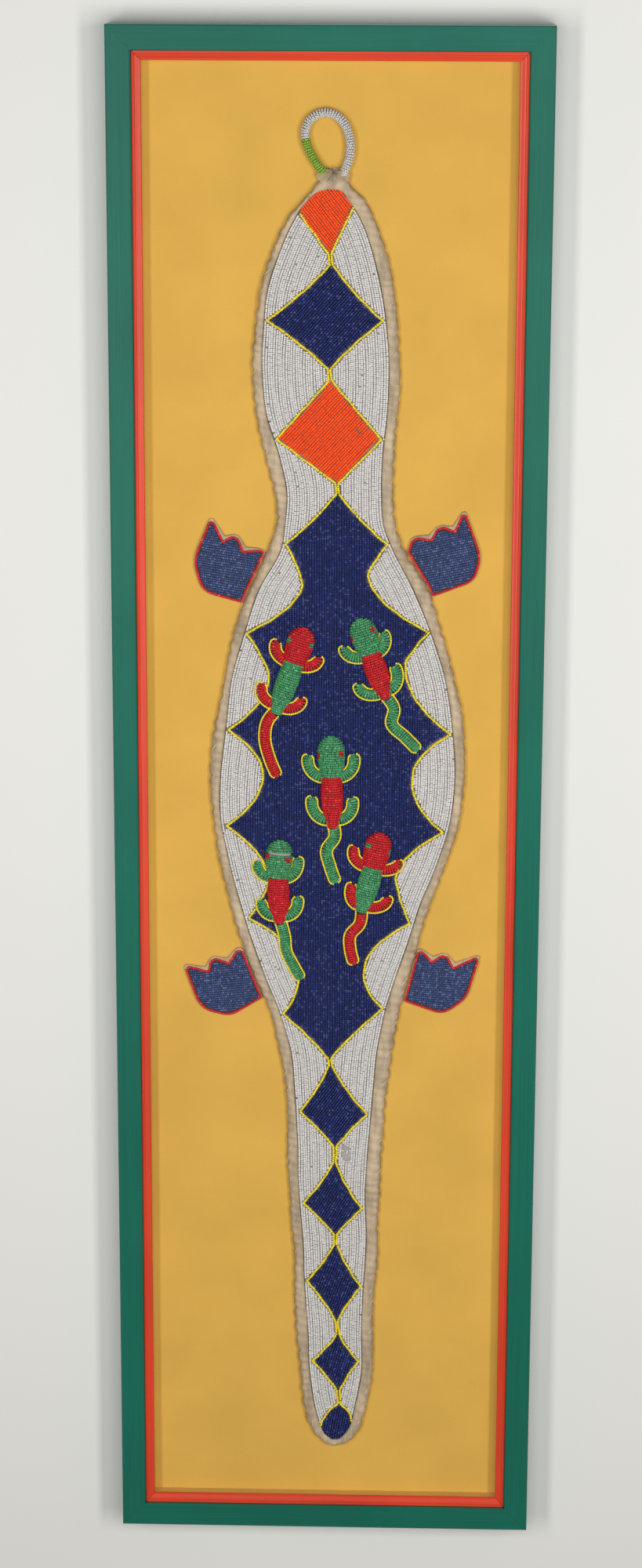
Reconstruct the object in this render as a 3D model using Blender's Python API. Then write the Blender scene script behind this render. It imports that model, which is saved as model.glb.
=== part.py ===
"""Framed beaded wall hanging.

A long stuffed crocodile in beadwork, with four flat feet, a beaded hanging loop and five small stuffed
lizards on its back, is sewn to a cloth-covered board at the bottom of a deep, plain wooden frame.
X runs to the right, Y into the wall and Z up. The origin is the middle of the top rail's back face.
"""
from collections import namedtuple
import math

import bmesh
import bpy
import numpy as np

# Frame, in metres: four mitred rails, four mitred inner slips, cloth-covered side walls and board
FRAME_WIDTH = 0.370
FRAME_HEIGHT = 1.345
FRAME_DEPTH = 0.034
RAIL_FACE = 0.021
RAIL_EASE = 0.0010
FIT_GAP = 0.0003
SLIP_SET_BACK = 0.004
SLIP_WIDTH = 0.008
SLIP_LIP_DROP = 0.0025
SLIP_LIP_THICK = 0.0020
SLIP_HEEL_WIDTH = 0.0035
SLIP_BEAD_WIDTH = 0.0022
SLIP_BEAD_DROP = 0.0009
WALL_THICK = 0.0030
WALL_SET_IN = 0.0008
BOARD_DEPTH = 0.019
BOARD_THICK = 0.005
FRAME_CENTRE_Z = -(FRAME_HEIGHT - RAIL_FACE) / 2
BOARD_FACE_Y = -(FRAME_DEPTH - BOARD_DEPTH)

# Crocodile, in millimetres across and up from the frame's centre, and out from the board
MM = 0.001
SEW_GAP = 0.3
PANEL_EDGE_HEIGHT = 6.2
PANEL_CROWN = 3.6
BINDING_PUCKER = 0.45
PUCKER_FADE = 20.0
FOOT_THICK = 3.4
FOOT_EDGE = 0.7
FOOT_CLEARANCE = 0.9
LOOP_RADIUS = 4.0
LOOP_ROOT_RUN = 2.0
LIZARD_LIFT = 0.4
TAIL_LIFT = 0.46
LIMB_LIFT = 0.52

# Lizards, in millimetres: a stuffed head and body, flat limbs and tail
HEAD_HALF_WIDTH = 12.3
HEAD_HEIGHT = 6.8
BODY_HALF_WIDTH = 10.3
BODY_HEIGHT = 6.2
LIMB_HALF_WIDTH = 4.6
LIMB_HEIGHT = 2.2
TAIL_HALF_WIDTH = 4.9

Section = namedtuple("Section", "height left right")
Pair = namedtuple("Pair", "field binding")
Corner = namedtuple("Corner", "x z radius")
Girth = namedtuple("Girth", "along width tall")
Arch = namedtuple("Arch", "across tall")
Roll = namedtuple("Roll", "share rise pucker")
Side = namedtuple("Side", "name turn run across")
Lizard = namedtuple("Lizard", "name head neck rump arm leg tail")
Limb = namedtuple("Limb", "left_reach right_reach left_rise right_rise")
Foot = namedtuple("Foot", "name side low high corners")

# Beaded field: its left and right edge at each height, from the tail's tip to the head
FIELD = (
    Section(-591.0, 7.0, 12.0),
    Section(-586.0, 0.5, 17.0),
    Section(-577.0, -4.0, 22.5),
    Section(-560.0, -9.0, 26.5),
    Section(-527.0, -14.0, 32.5),
    Section(-480.0, -16.0, 32.5),
    Section(-440.0, -19.0, 34.0),
    Section(-400.0, -20.5, 36.3),
    Section(-345.0, -24.5, 35.0),
    Section(-300.0, -25.6, 37.8),
    Section(-260.0, -28.0, 41.0),
    Section(-215.0, -32.0, 44.8),
    Section(-180.0, -41.8, 51.0),
    Section(-150.0, -53.5, 59.5),
    Section(-120.0, -64.3, 69.5),
    Section(-80.0, -76.3, 81.5),
    Section(-40.0, -86.2, 96.5),
    Section(0.0, -93.4, 107.5),
    Section(40.0, -92.7, 110.4),
    Section(80.0, -87.9, 107.4),
    Section(120.0, -83.2, 101.3),
    Section(165.0, -71.0, 87.5),
    Section(200.0, -59.5, 73.0),
    Section(235.0, -40.5, 55.0),
    Section(255.0, -37.2, 47.0),
    Section(285.0, -35.8, 44.8),
    Section(315.0, -42.0, 45.5),
    Section(350.0, -52.8, 49.0),
    Section(385.0, -56.4, 50.2),
    Section(420.0, -55.5, 48.5),
    Section(455.0, -52.0, 43.5),
    Section(490.0, -40.5, 34.8),
    Section(510.0, -31.5, 27.5),
    Section(522.0, -24.5, 21.0),
    Section(531.0, -16.5, 14.0),
    Section(536.0, -10.5, 11.0),
    Section(538.3, -3.5, 7.5),
)

# Outer edge of the sewn binding at each height
BINDING = (
    Section(-597.8, 4.0, 14.0),
    Section(-592.0, -4.5, 23.0),
    Section(-583.0, -12.0, 30.0),
    Section(-563.0, -18.5, 36.5),
    Section(-543.0, -21.0, 40.5),
    Section(-502.0, -25.0, 43.5),
    Section(-462.0, -28.5, 43.0),
    Section(-422.0, -28.0, 46.5),
    Section(-382.0, -31.0, 46.5),
    Section(-342.0, -33.5, 48.5),
    Section(-302.0, -35.0, 50.0),
    Section(-262.0, -35.5, 53.0),
    Section(-217.0, -42.0, 58.5),
    Section(-182.0, -50.0, 63.5),
    Section(-152.0, -62.0, 71.0),
    Section(-122.0, -73.5, 78.5),
    Section(-82.0, -85.5, 90.0),
    Section(-41.0, -94.5, 105.0),
    Section(-1.0, -100.0, 115.5),
    Section(39.0, -102.5, 119.0),
    Section(79.0, -98.0, 117.5),
    Section(119.0, -90.0, 110.0),
    Section(164.0, -81.0, 97.5),
    Section(199.0, -68.0, 86.0),
    Section(234.0, -52.0, 65.5),
    Section(254.0, -45.0, 57.0),
    Section(279.0, -45.5, 55.0),
    Section(314.0, -54.5, 55.5),
    Section(349.0, -61.5, 58.0),
    Section(384.0, -65.0, 60.0),
    Section(419.0, -63.0, 58.0),
    Section(454.0, -58.0, 54.5),
    Section(489.0, -48.0, 46.5),
    Section(520.0, -31.0, 35.0),
    Section(530.0, -22.0, 29.5),
    Section(540.0, -13.5, 18.5),
    Section(545.0, -10.5, 16.0),
    Section(548.3, -9.5, 15.3),
)

# Which height of the binding's outer edge lies across from a height of the field's edge
PAIRS = (
    Pair(-591.0, -597.8),
    Pair(-577.0, -585.0),
    Pair(-560.0, -564.0),
    Pair(-500.0, -500.0),
    Pair(500.0, 500.0),
    Pair(520.0, 521.5),
    Pair(531.0, 534.0),
    Pair(536.0, 541.0),
    Pair(538.3, 548.3),
)

# Cross-section of the binding: share of the way from the field to the outer edge, rise, and share of the pucker
ROLL = (
    Roll(0.00, SEW_GAP, 0.0),
    Roll(0.00, 5.6, 0.0),
    Roll(0.28, 7.3, 0.6),
    Roll(0.62, 7.2, 1.0),
    Roll(0.88, 5.4, 0.6),
    Roll(1.00, 2.6, 0.0),
    Roll(0.93, SEW_GAP, 0.0),
)

# Each foot: three toes and a heel as rounded corners. Its inner side follows the binding from low to high
FEET = (
    Foot("foot_front_left", -1, 187.0, 231.0, (
        Corner(-57.0, 235.0, 3.0),
        Corner(-72.0, 234.5, 2.0),
        Corner(-78.0, 248.5, 5.5),
        Corner(-89.5, 243.5, 2.0),
        Corner(-100.5, 263.5, 6.0),
        Corner(-117.0, 224.0, 26.0),
        Corner(-108.5, 196.5, 14.0),
    )),
    Foot("foot_front_right", 1, 194.0, 233.0, (
        Corner(71.0, 247.0, 3.5),
        Corner(86.5, 246.0, 2.5),
        Corner(94.0, 257.5, 6.0),
        Corner(106.5, 253.5, 2.5),
        Corner(115.5, 271.0, 7.0),
        Corner(131.5, 229.0, 26.0),
        Corner(125.0, 207.5, 14.0),
    )),
    Foot("foot_rear_left", -1, -168.0, -126.0, (
        Corner(-77.5, -119.5, 4.5),
        Corner(-87.5, -134.0, 2.5),
        Corner(-102.5, -129.5, 5.0),
        Corner(-106.0, -142.0, 2.5),
        Corner(-127.5, -137.5, 4.0),
        Corner(-112.5, -180.0, 24.0),
        Corner(-85.0, -186.0, 14.0),
    )),
    Foot("foot_rear_right", 1, -170.0, -124.0, (
        Corner(80.5, -119.0, 4.5),
        Corner(93.0, -130.5, 2.5),
        Corner(104.5, -123.5, 5.5),
        Corner(112.0, -136.0, 2.5),
        Corner(135.5, -125.5, 6.0),
        Corner(124.0, -167.0, 20.0),
        Corner(103.0, -182.5, 14.0),
    )),
)

# Route of the hanging loop's middle line, from its left root round to its right root
LOOP_ROUTE = (
    (-4.6, 548.9), (-4.7, 550.9), (-8.8, 556.5), (-15.0, 566.0), (-19.8, 577.0), (-20.6, 587.5),
    (-15.8, 596.5), (-4.8, 601.4), (5.8, 598.6), (13.4, 589.5), (16.6, 577.5), (15.4, 562.0),
    (11.0, 550.9), (10.9, 548.9),
)

# How wide and tall a lizard is along its head and then its body, as shares of the largest
HEAD_SHAPE = (
    Girth(0.00, 0.34, 0.35),
    Girth(0.09, 0.66, 0.72),
    Girth(0.26, 0.93, 0.95),
    Girth(0.52, 1.00, 1.00),
    Girth(0.80, 0.90, 0.94),
)
BODY_SHAPE = (
    Girth(0.00, 0.82, 0.92),
    Girth(0.28, 1.00, 1.00),
    Girth(0.58, 0.94, 0.96),
    Girth(0.82, 0.70, 0.80),
    Girth(1.00, 0.50, 0.50),
)
LIMB_SHAPE = (
    Girth(0.0, 0.90, 1.00),
    Girth(0.2, 1.00, 1.00),
    Girth(0.4, 1.00, 1.00),
    Girth(0.6, 1.00, 1.00),
    Girth(0.8, 0.92, 0.95),
    Girth(1.0, 0.50, 0.60),
)
TAIL_SHAPE = (
    Girth(0.00, 1.00, 1.00),
    Girth(0.85, 1.00, 1.00),
    Girth(0.97, 0.90, 0.95),
    Girth(1.00, 0.50, 0.60),
)

# Cross-section of every soft strip: shares of its half width and of its height, with its flat back first
ARCH = (
    Arch(-0.94, 0.00),
    Arch(0.94, 0.00),
    Arch(1.00, 0.38),
    Arch(0.68, 0.80),
    Arch(0.00, 1.00),
    Arch(-0.68, 0.80),
    Arch(-1.00, 0.38),
)

# Each lizard: the top of its head, its neck and the end of its body, its limbs, and its tail's bends
LIZARDS = (
    Lizard("lizard_upper_left", (-19.5, 167.5), (-29.5, 136.5), (-45.0, 91.5),
           Limb(15.5, 14.5, 14.5, 13.0), Limb(16.0, 14.0, 14.5, 14.0),
           ((-52.5, 84.0), (-54.5, 71.5), (-50.5, 52.5), (-43.5, 35.5))),
    Lizard("lizard_upper_right", (26.5, 176.0), (36.5, 145.0), (50.5, 106.0),
           Limb(15.5, 12.0, 14.5, 16.0), Limb(16.0, 13.0, 14.0, 20.0),
           ((57.0, 97.0), (55.0, 84.5), (67.0, 72.0), (78.5, 60.0))),
    Lizard("lizard_centre", (3.0, 72.5), (3.5, 36.0), (5.0, -9.5),
           Limb(16.0, 15.5, 20.5, 20.5), Limb(15.0, 14.5, 21.5, 20.0),
           ((6.5, -17.5), (-0.5, -29.5), (2.5, -44.5), (8.0, -60.0))),
    Lizard("lizard_lower_left", (-41.0, -21.5), (-43.0, -55.5), (-41.5, -97.0),
           Limb(13.5, 13.0, 15.0, 19.5), Limb(12.5, 13.0, 15.0, 18.5),
           ((-37.0, -110.0), (-36.0, -121.5), (-28.5, -137.5), (-22.5, -148.5))),
    Lizard("lizard_lower_right", (47.0, -14.0), (40.0, -45.5), (29.5, -86.5),
           Limb(16.0, 16.0, 15.5, 12.0), Limb(10.5, 16.5, 18.0, 13.5),
           ((28.5, -97.0), (20.5, -107.0), (20.5, -120.0), (24.0, -134.0))),
)
LEG_PLACE = 0.84

Finish = namedtuple("Finish", "colour roughness metallic")
GREEN_PAINT = Finish((0.025, 0.135, 0.105), 0.55, 0.0)
RED_PAINT = Finish((0.58, 0.072, 0.035), 0.45, 0.0)
YELLOW_CLOTH = Finish((0.70, 0.43, 0.11), 0.85, 0.0)
WHITE_BEADS = Finish((0.66, 0.62, 0.57), 0.30, 0.0)
NAVY_BEADS = Finish((0.035, 0.050, 0.16), 0.28, 0.0)
RED_BEADS = Finish((0.48, 0.025, 0.030), 0.28, 0.0)
GREEN_BEADS = Finish((0.040, 0.32, 0.13), 0.28, 0.0)
BEIGE_HIDE = Finish((0.46, 0.37, 0.27), 0.80, 0.0)


def clear_scene():
    """Remove what a new file holds."""
    for thing in list(bpy.data.objects):
        bpy.data.objects.remove(thing, do_unlink=True)


def new_collection(name, hidden=False):
    """Add a collection to the scene; the cutters' one is kept out of renders."""
    collection = bpy.data.collections.new(name)
    collection.hide_render = hidden
    bpy.context.scene.collection.children.link(collection)
    return collection


def material(name, finish):
    """Principled material with the piece's own colour, roughness and metallic value."""
    made = bpy.data.materials.new(name)
    made.use_nodes = True
    shader = made.node_tree.nodes["Principled BSDF"]
    shader.inputs["Base Color"].default_value = (*finish.colour, 1.0)
    shader.inputs["Roughness"].default_value = finish.roughness
    shader.inputs["Metallic"].default_value = finish.metallic
    return made


def add_mesh(name, points, faces, finish, smooth=False):
    """Put points and faces into a new object, with every face turned outwards."""
    mesh = bpy.data.meshes.new(name)
    mesh.from_pydata(np.asarray(points).reshape(-1, 3).tolist(), [], faces)
    shell = bmesh.new()
    shell.from_mesh(mesh)
    bmesh.ops.recalc_face_normals(shell, faces=shell.faces)
    shell.to_mesh(mesh)
    shell.free()
    mesh.materials.append(material(name, finish))
    if smooth:
        mesh.shade_smooth()
        mesh.set_sharp_from_angle(angle=math.radians(40))
    piece = bpy.data.objects.new(name, mesh)
    PIECES.objects.link(piece)
    return piece


def loft_faces(ring_count, ring_size, looped=False):
    """Quads between each ring of points and the next, with a flat face over both ends of an open run."""
    faces = []
    for ring in range(ring_count if looped else ring_count - 1):
        here = ring * ring_size
        there = (ring + 1) % ring_count * ring_size
        for k in range(ring_size):
            nxt = (k + 1) % ring_size
            faces.append((here + k, here + nxt, there + nxt, there + k))
    if not looped:
        faces.append(tuple(range(ring_size)))
        faces.append(tuple(range(ring_count * ring_size - 1, (ring_count - 1) * ring_size - 1, -1)))
    return faces


def in_frame(across, up, out):
    """Turn millimetres from the frame's centre, and out from the board, into metres in the part's frame."""
    across, up, out = np.broadcast_arrays(across, up, out)
    return np.stack([across * MM, BOARD_FACE_Y - out * MM, FRAME_CENTRE_Z + up * MM], axis=-1)


def read_curve(places, values, at):
    """Smooth curve through a column: cubic between rows, with each row's slope from its neighbours."""
    places = np.asarray(places, dtype=float)
    values = np.asarray(values, dtype=float)
    slopes = np.gradient(values, places, axis=0)
    row = np.clip(np.searchsorted(places, at) - 1, 0, len(places) - 2)
    span = places[row + 1] - places[row]
    t = np.clip((at - places[row]) / span, 0.0, 1.0)
    if values.ndim == 2:
        span, t = span[:, None], t[:, None]
    return ((2 * t**3 - 3 * t**2 + 1) * values[row] + (t**3 - 2 * t**2 + t) * span * slopes[row]
            + (3 * t**2 - 2 * t**3) * values[row + 1] + (t**3 - t**2) * span * slopes[row + 1])


def edges(sections, height):
    """Left and right edge of a table of sections at the given heights."""
    height = np.asarray(height, dtype=float)
    places = [row.height for row in sections]
    left = read_curve(places, [row.left for row in sections], height)
    right = read_curve(places, [row.right for row in sections], height)
    return left, right


def panel_rise(across, up):
    """How far the beaded field stands out from the board: an even edge, and a crown along its middle."""
    low, high = FIELD[0].height, FIELD[-1].height
    up = np.clip(up, low, high)
    left, right = edges(FIELD, np.atleast_1d(up))
    across_share = np.clip((2 * across - left - right) / (right - left), -1.0, 1.0)
    along_share = (2 * up - low - high) / (high - low)
    return PANEL_EDGE_HEIGHT + PANEL_CROWN * (1 - across_share**2) * (1 - along_share**8)


def field_heights():
    """Heights of the field's cross-sections: even along its length and closer at both ends."""
    low_end = (-591.0, -589.0, -586.0, -582.0, -577.0, -569.0)
    high_end = (517.0, 524.0, 529.0, 533.0, 536.0, 538.3)
    return np.concatenate([low_end, np.linspace(-560.0, 508.0, 58), high_end])


def make_frame():
    """Plain rails, stepped slips and cloth-covered walls, each a bar with mitred ends, and the board."""
    holder = bpy.data.objects.new("frame_centre", None)
    holder.location = (0.0, 0.0, FRAME_CENTRE_Z)
    PIECES.objects.link(holder)
    front = -FRAME_DEPTH
    rail = (
        (0.0, 0.0), (0.0, front + RAIL_EASE), (RAIL_EASE, front),
        (RAIL_FACE - RAIL_EASE, front), (RAIL_FACE, front + RAIL_EASE), (RAIL_FACE, 0.0),
    )
    slip_outer = RAIL_FACE + FIT_GAP
    lip = RAIL_FACE + SLIP_WIDTH
    slip_front = front + SLIP_SET_BACK
    lip_front = slip_front + SLIP_LIP_DROP
    lip_back = lip_front + SLIP_LIP_THICK
    heel = slip_outer + SLIP_HEEL_WIDTH
    foot = BOARD_FACE_Y - FIT_GAP
    slip = (
        (slip_outer, foot), (slip_outer, slip_front), (slip_outer + SLIP_BEAD_WIDTH, slip_front),
        (slip_outer + SLIP_BEAD_WIDTH + 0.0005, slip_front + SLIP_BEAD_DROP),
        (slip_outer + SLIP_BEAD_WIDTH + 0.0014, slip_front + SLIP_BEAD_DROP + 0.0002),
        (lip - 0.0018, lip_front - 0.0003), (lip - 0.0005, lip_front),
        (lip, lip_front + 0.0006), (lip, lip_back), (heel, lip_back), (heel, foot),
    )
    wall_inner = lip - WALL_SET_IN
    wall_outer = wall_inner - WALL_THICK
    wall = (
        (wall_outer, foot), (wall_outer, lip_back + FIT_GAP),
        (wall_inner, lip_back + FIT_GAP), (wall_inner, foot),
    )
    sides = (
        Side("top", 0.0, FRAME_WIDTH / 2, FRAME_HEIGHT / 2),
        Side("right", 90.0, FRAME_HEIGHT / 2, FRAME_WIDTH / 2),
        Side("bottom", 180.0, FRAME_WIDTH / 2, FRAME_HEIGHT / 2),
        Side("left", 270.0, FRAME_HEIGHT / 2, FRAME_WIDTH / 2),
    )
    for side in sides:
        for prefix, profile, finish in (
                ("frame_rail", rail, GREEN_PAINT), ("slip", slip, RED_PAINT), ("side_wall", wall, YELLOW_CLOTH)):
            bar = mitred_bar(f"{prefix}_{side.name}", profile, side, finish)
            bar.parent = holder
    make_board(holder)


def mitred_bar(name, profile, side, finish):
    """Bar with one cross-section, made along the top side and turned to its own, both ends cut at 45 degrees.

    A point of the profile is its distance in from the frame's outer edge, and its Y.
    """
    inset, depth = np.array(profile).T
    half_run = side.run - inset - FIT_GAP * math.sqrt(0.5)
    near = np.stack([-half_run, depth, side.across - inset], axis=-1)
    far = np.stack([half_run, depth, side.across - inset], axis=-1)
    bar = add_mesh(name, np.stack([near, far]), loft_faces(2, len(profile)), finish)
    bar.rotation_euler = (0.0, math.radians(side.turn), 0.0)
    return bar


def make_board(holder):
    """Flat board behind the slips, between the rails."""
    bpy.ops.mesh.primitive_cube_add(size=1.0)
    board = bpy.context.object
    board.name = "backing_board"
    board.data.name = "backing_board"
    inner = RAIL_FACE + FIT_GAP
    size = (FRAME_WIDTH - 2 * inner, BOARD_THICK, FRAME_HEIGHT - 2 * inner)
    for vertex in board.data.vertices:
        vertex.co = [share * length for share, length in zip(vertex.co, size)]
    board.location = (0.0, BOARD_FACE_Y + BOARD_THICK / 2, 0.0)
    board.data.materials.append(material("backing_board", YELLOW_CLOTH))
    for collection in list(board.users_collection):
        collection.objects.unlink(board)
    PIECES.objects.link(board)
    board.parent = holder


def make_panel():
    """Stuffed beaded field: flat behind, upright at its edge and crowned in front."""
    heights = field_heights()
    left, right = edges(FIELD, heights)
    left, right = left + SEW_GAP / 2, right - SEW_GAP / 2
    shares = np.array([1.0, 0.68, 0.34, 0.0, -0.34, -0.68, -1.0])
    across = (left + right)[:, None] / 2 + (right - left)[:, None] / 2 * shares
    up = np.repeat(heights[:, None], len(shares), axis=1)
    low, high = heights[0], heights[-1]
    up = np.where(up == low, low + SEW_GAP / 2, np.where(up == high, high - SEW_GAP / 2, up))
    crown = panel_rise(across.ravel(), up.ravel()).reshape(across.shape)
    rings = np.concatenate([
        in_frame(across[:, -1:], up[:, -1:], SEW_GAP),
        in_frame(across[:, :1], up[:, :1], SEW_GAP),
        in_frame(across, up, crown),
    ], axis=1)
    add_mesh("bead_panel", rings, loft_faces(*rings.shape[:2]), WHITE_BEADS, smooth=True)


def binding_pucker(run):
    """Uneven outline of the sewn edge, in millimetres, along its run in millimetres."""
    waves = np.sin(run / 9.1) + 0.7 * np.sin(run / 15.7 + 1.3) + 0.5 * np.sin(run / 33.0 + 0.4)
    return BINDING_PUCKER * waves / 2.2


def binding_loops():
    """Inner and outer line of the binding: up the right side, over the head and down the left side."""
    heights = field_heights()
    outer_heights = np.interp(heights, [row.field for row in PAIRS], [row.binding for row in PAIRS])
    field_left, field_right = edges(FIELD, heights)
    left, right = edges(BINDING, outer_heights)
    inner_x = np.concatenate([field_right, field_left[::-1]])
    inner_z = np.concatenate([heights, heights[::-1]])
    outer_x = np.concatenate([right, left[::-1]])
    outer_z = np.concatenate([outer_heights, outer_heights[::-1]])
    inner = np.stack([inner_x, inner_z], axis=1)
    outer = np.stack([outer_x, outer_z], axis=1)
    return inner, outer


def make_binding():
    """Soft rolled edge round the field: an arched section that follows the field's edge and its own."""
    inner, outer = binding_loops()
    away = outer - inner
    width = np.linalg.norm(away, axis=1, keepdims=True)
    away = away / width
    run = np.cumsum(np.linalg.norm(np.diff(inner, axis=0, prepend=inner[:1]), axis=1))
    below_loop = np.clip((BINDING[-1].height - outer[:, 1]) / PUCKER_FADE, 0.0, 1.0)
    pucker = (binding_pucker(run) * below_loop)[:, None]
    inner = inner + away * SEW_GAP / 2
    outer = outer + away * pucker
    share, rise, swell = np.array(ROLL).T
    points = inner[:, None, :] + (outer - inner)[:, None, :] * share[None, :, None]
    rings = in_frame(points[..., 0], points[..., 1], rise + pucker * swell)
    add_mesh("edge_binding", rings, loft_faces(*rings.shape[:2], looped=True), BEIGE_HIDE, smooth=True)


def rounded_outline(corners, steps=4):
    """Points of a closed outline whose corners are rounded: each corner is an arc between its two sides."""
    points = []
    for k, corner in enumerate(corners):
        here = np.array([corner.x, corner.z])
        back = np.array([corners[k - 1].x, corners[k - 1].z]) - here
        ahead_corner = corners[(k + 1) % len(corners)]
        ahead = np.array([ahead_corner.x, ahead_corner.z]) - here
        if corner.radius == 0.0:
            points.append(here)
            continue
        back_length, ahead_length = np.linalg.norm(back), np.linalg.norm(ahead)
        back, ahead = back / back_length, ahead / ahead_length
        half_angle = math.acos(float(np.clip(back @ ahead, -1.0, 1.0))) / 2
        reach = min(corner.radius / math.tan(half_angle), 0.46 * back_length, 0.46 * ahead_length)
        for t in np.linspace(0.0, 1.0, steps):
            points.append(here + back * reach * (1 - t)**2 + ahead * reach * t**2)
    return np.array(points)


def make_foot(foot):
    """Flat sewn foot: rounded toes and heel, and an inner side that lies along the binding."""
    heights = np.linspace(foot.low, foot.high, 5)
    left, right = edges(BINDING, heights)
    edge = left if foot.side < 0 else right
    beside = [Corner(x + foot.side * FOOT_CLEARANCE, z, 0.0) for x, z in zip(edge, heights)]
    outline = rounded_outline((*beside, *foot.corners))
    curve = bpy.data.curves.new(foot.name, "CURVE")
    curve.dimensions = "2D"
    curve.fill_mode = "BOTH"
    curve.extrude = (FOOT_THICK / 2 - FOOT_EDGE) * MM
    curve.bevel_depth = FOOT_EDGE * MM
    curve.bevel_resolution = 0
    curve.offset = -FOOT_EDGE * MM
    spline = curve.splines.new("POLY")
    spline.points.add(len(outline) - 1)
    spline.points.foreach_set("co", np.insert(outline * MM, 2, [[0.0], [1.0]], axis=1).ravel())
    spline.use_cyclic_u = True
    curve.materials.append(material(foot.name, NAVY_BEADS))
    piece = bpy.data.objects.new(foot.name, curve)
    piece.rotation_euler = (math.radians(90.0), 0.0, 0.0)
    piece.location = (0.0, BOARD_FACE_Y - (SEW_GAP + FOOT_THICK / 2) * MM, FRAME_CENTRE_Z)
    PIECES.objects.link(piece)


def make_loop():
    """Round beaded rope of the hanging loop, from root to root over the head."""
    route = np.array(LOOP_ROUTE)
    run = np.concatenate([[0.0], np.cumsum(np.linalg.norm(np.diff(route, axis=0), axis=1))])
    between = np.linspace(LOOP_ROOT_RUN, run[-1] - LOOP_ROOT_RUN, 26)
    points = read_curve(run, route, np.array([0.0, *between, run[-1]]))
    curve = bpy.data.curves.new("hanging_loop", "CURVE")
    curve.dimensions = "3D"
    curve.bevel_depth = LOOP_RADIUS * MM
    curve.bevel_resolution = 2
    curve.use_fill_caps = True
    spline = curve.splines.new("POLY")
    spline.points.add(len(points) - 1)
    placed = in_frame(points[:, 0], points[:, 1], SEW_GAP + LOOP_RADIUS)
    spline.points.foreach_set("co", np.insert(placed, 3, 1.0, axis=1).ravel())
    curve.materials.append(material("hanging_loop", WHITE_BEADS))
    PIECES.objects.link(bpy.data.objects.new("hanging_loop", curve))


def strip(name, path, half_width, tall, lift, finish):
    """Soft strip on the beaded field: an arched section carried along a path, and raised by the field's crown."""
    path = np.asarray(path, dtype=float)
    heading = np.gradient(path, axis=0)
    heading = heading / np.linalg.norm(heading, axis=1, keepdims=True)
    aside = np.stack([-heading[:, 1], heading[:, 0]], axis=1)
    across, arch = np.array(ARCH).T
    points = path[:, None, :] + aside[:, None, :] * (np.asarray(half_width)[:, None] * across)[..., None]
    ground = panel_rise(points[..., 0].ravel(), points[..., 1].ravel()).reshape(points.shape[:2])
    out = ground + lift + np.asarray(tall)[:, None] * arch
    rings = in_frame(points[..., 0], points[..., 1], out)
    return add_mesh(name, rings, loft_faces(*rings.shape[:2]), finish, smooth=True)


def limb_path(root, up_way, out_way, reach, rise):
    """Bent arm or leg: a quarter of an ellipse out from the body and up, over its reach and its rise."""
    angle = np.radians(np.array([-25.0, 5.0, 35.0, 65.0, 95.0, 112.0]))
    outward = reach * (0.1 + 0.9 * np.sin(np.maximum(angle, -0.3)))
    upward = rise * (1 - np.cos(angle)) / (1 - np.cos(angle[-1]))
    return root + np.outer(outward, out_way) + np.outer(upward, up_way)


def make_lizard(lizard):
    """Stuffed head and body joined with four flat limbs and a wavy tail into one solid."""
    head, neck, rump = (np.array(point) for point in (lizard.head, lizard.neck, lizard.rump))
    path = [head + (neck - head) * row.along for row in HEAD_SHAPE]
    path += [neck + (rump - neck) * row.along for row in BODY_SHAPE]
    widths = [HEAD_HALF_WIDTH * row.width for row in HEAD_SHAPE]
    widths += [BODY_HALF_WIDTH * row.width for row in BODY_SHAPE]
    heights = [HEAD_HEIGHT * row.tall for row in HEAD_SHAPE]
    heights += [BODY_HEIGHT * row.tall for row in BODY_SHAPE]
    trunk = strip(lizard.name, path, widths, heights, LIZARD_LIFT, GREEN_BEADS)
    up_way = (head - rump) / np.linalg.norm(head - rump)
    out_way = np.array([up_way[1], -up_way[0]])
    parts = []
    for place, limb, label in ((0.0, lizard.arm, "arm"), (LEG_PLACE, lizard.leg, "leg")):
        root = neck + (rump - neck) * place
        half = BODY_HALF_WIDTH * (0.7 if label == "arm" else 0.5)
        for way, reach, rise in ((-1, limb.left_reach, limb.left_rise), (1, limb.right_reach, limb.right_rise)):
            bend = limb_path(root + way * half * 0.6 * out_way, up_way, way * out_way, reach, rise)
            widths = [LIMB_HALF_WIDTH * row.width for row in LIMB_SHAPE]
            tall = [LIMB_HEIGHT * row.tall for row in LIMB_SHAPE]
            parts.append(strip(f"{lizard.name}_{label}", bend, widths, tall, LIMB_LIFT, RED_BEADS))
    bends = np.array([rump + (neck - rump) * 0.12, *lizard.tail])
    run = np.concatenate([[0.0], np.cumsum(np.linalg.norm(np.diff(bends, axis=0), axis=1))])
    shares = np.append(np.linspace(0.0, TAIL_SHAPE[-2].along, 9), 1.0)
    tail = read_curve(run, bends, shares * run[-1])
    along = [row.along for row in TAIL_SHAPE]
    widths = TAIL_HALF_WIDTH * np.interp(shares, along, [row.width for row in TAIL_SHAPE])
    tall = LIMB_HEIGHT * np.interp(shares, along, [row.tall for row in TAIL_SHAPE])
    parts.append(strip(f"{lizard.name}_tail", tail, widths, tall, TAIL_LIFT, RED_BEADS))
    for part in parts:
        PIECES.objects.unlink(part)
        CUTTERS.objects.link(part)
        part.hide_render = True
        part.display_type = "WIRE"
        union = trunk.modifiers.new(part.name, "BOOLEAN")
        union.operation = "UNION"
        union.solver = "EXACT"
        union.object = part


clear_scene()
PIECES = new_collection("framed_beaded_wall_hanging")
CUTTERS = new_collection("cutters", hidden=True)
make_frame()
make_panel()
make_binding()
for foot_row in FEET:
    make_foot(foot_row)
make_loop()
for lizard_row in LIZARDS:
    make_lizard(lizard_row)
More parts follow.
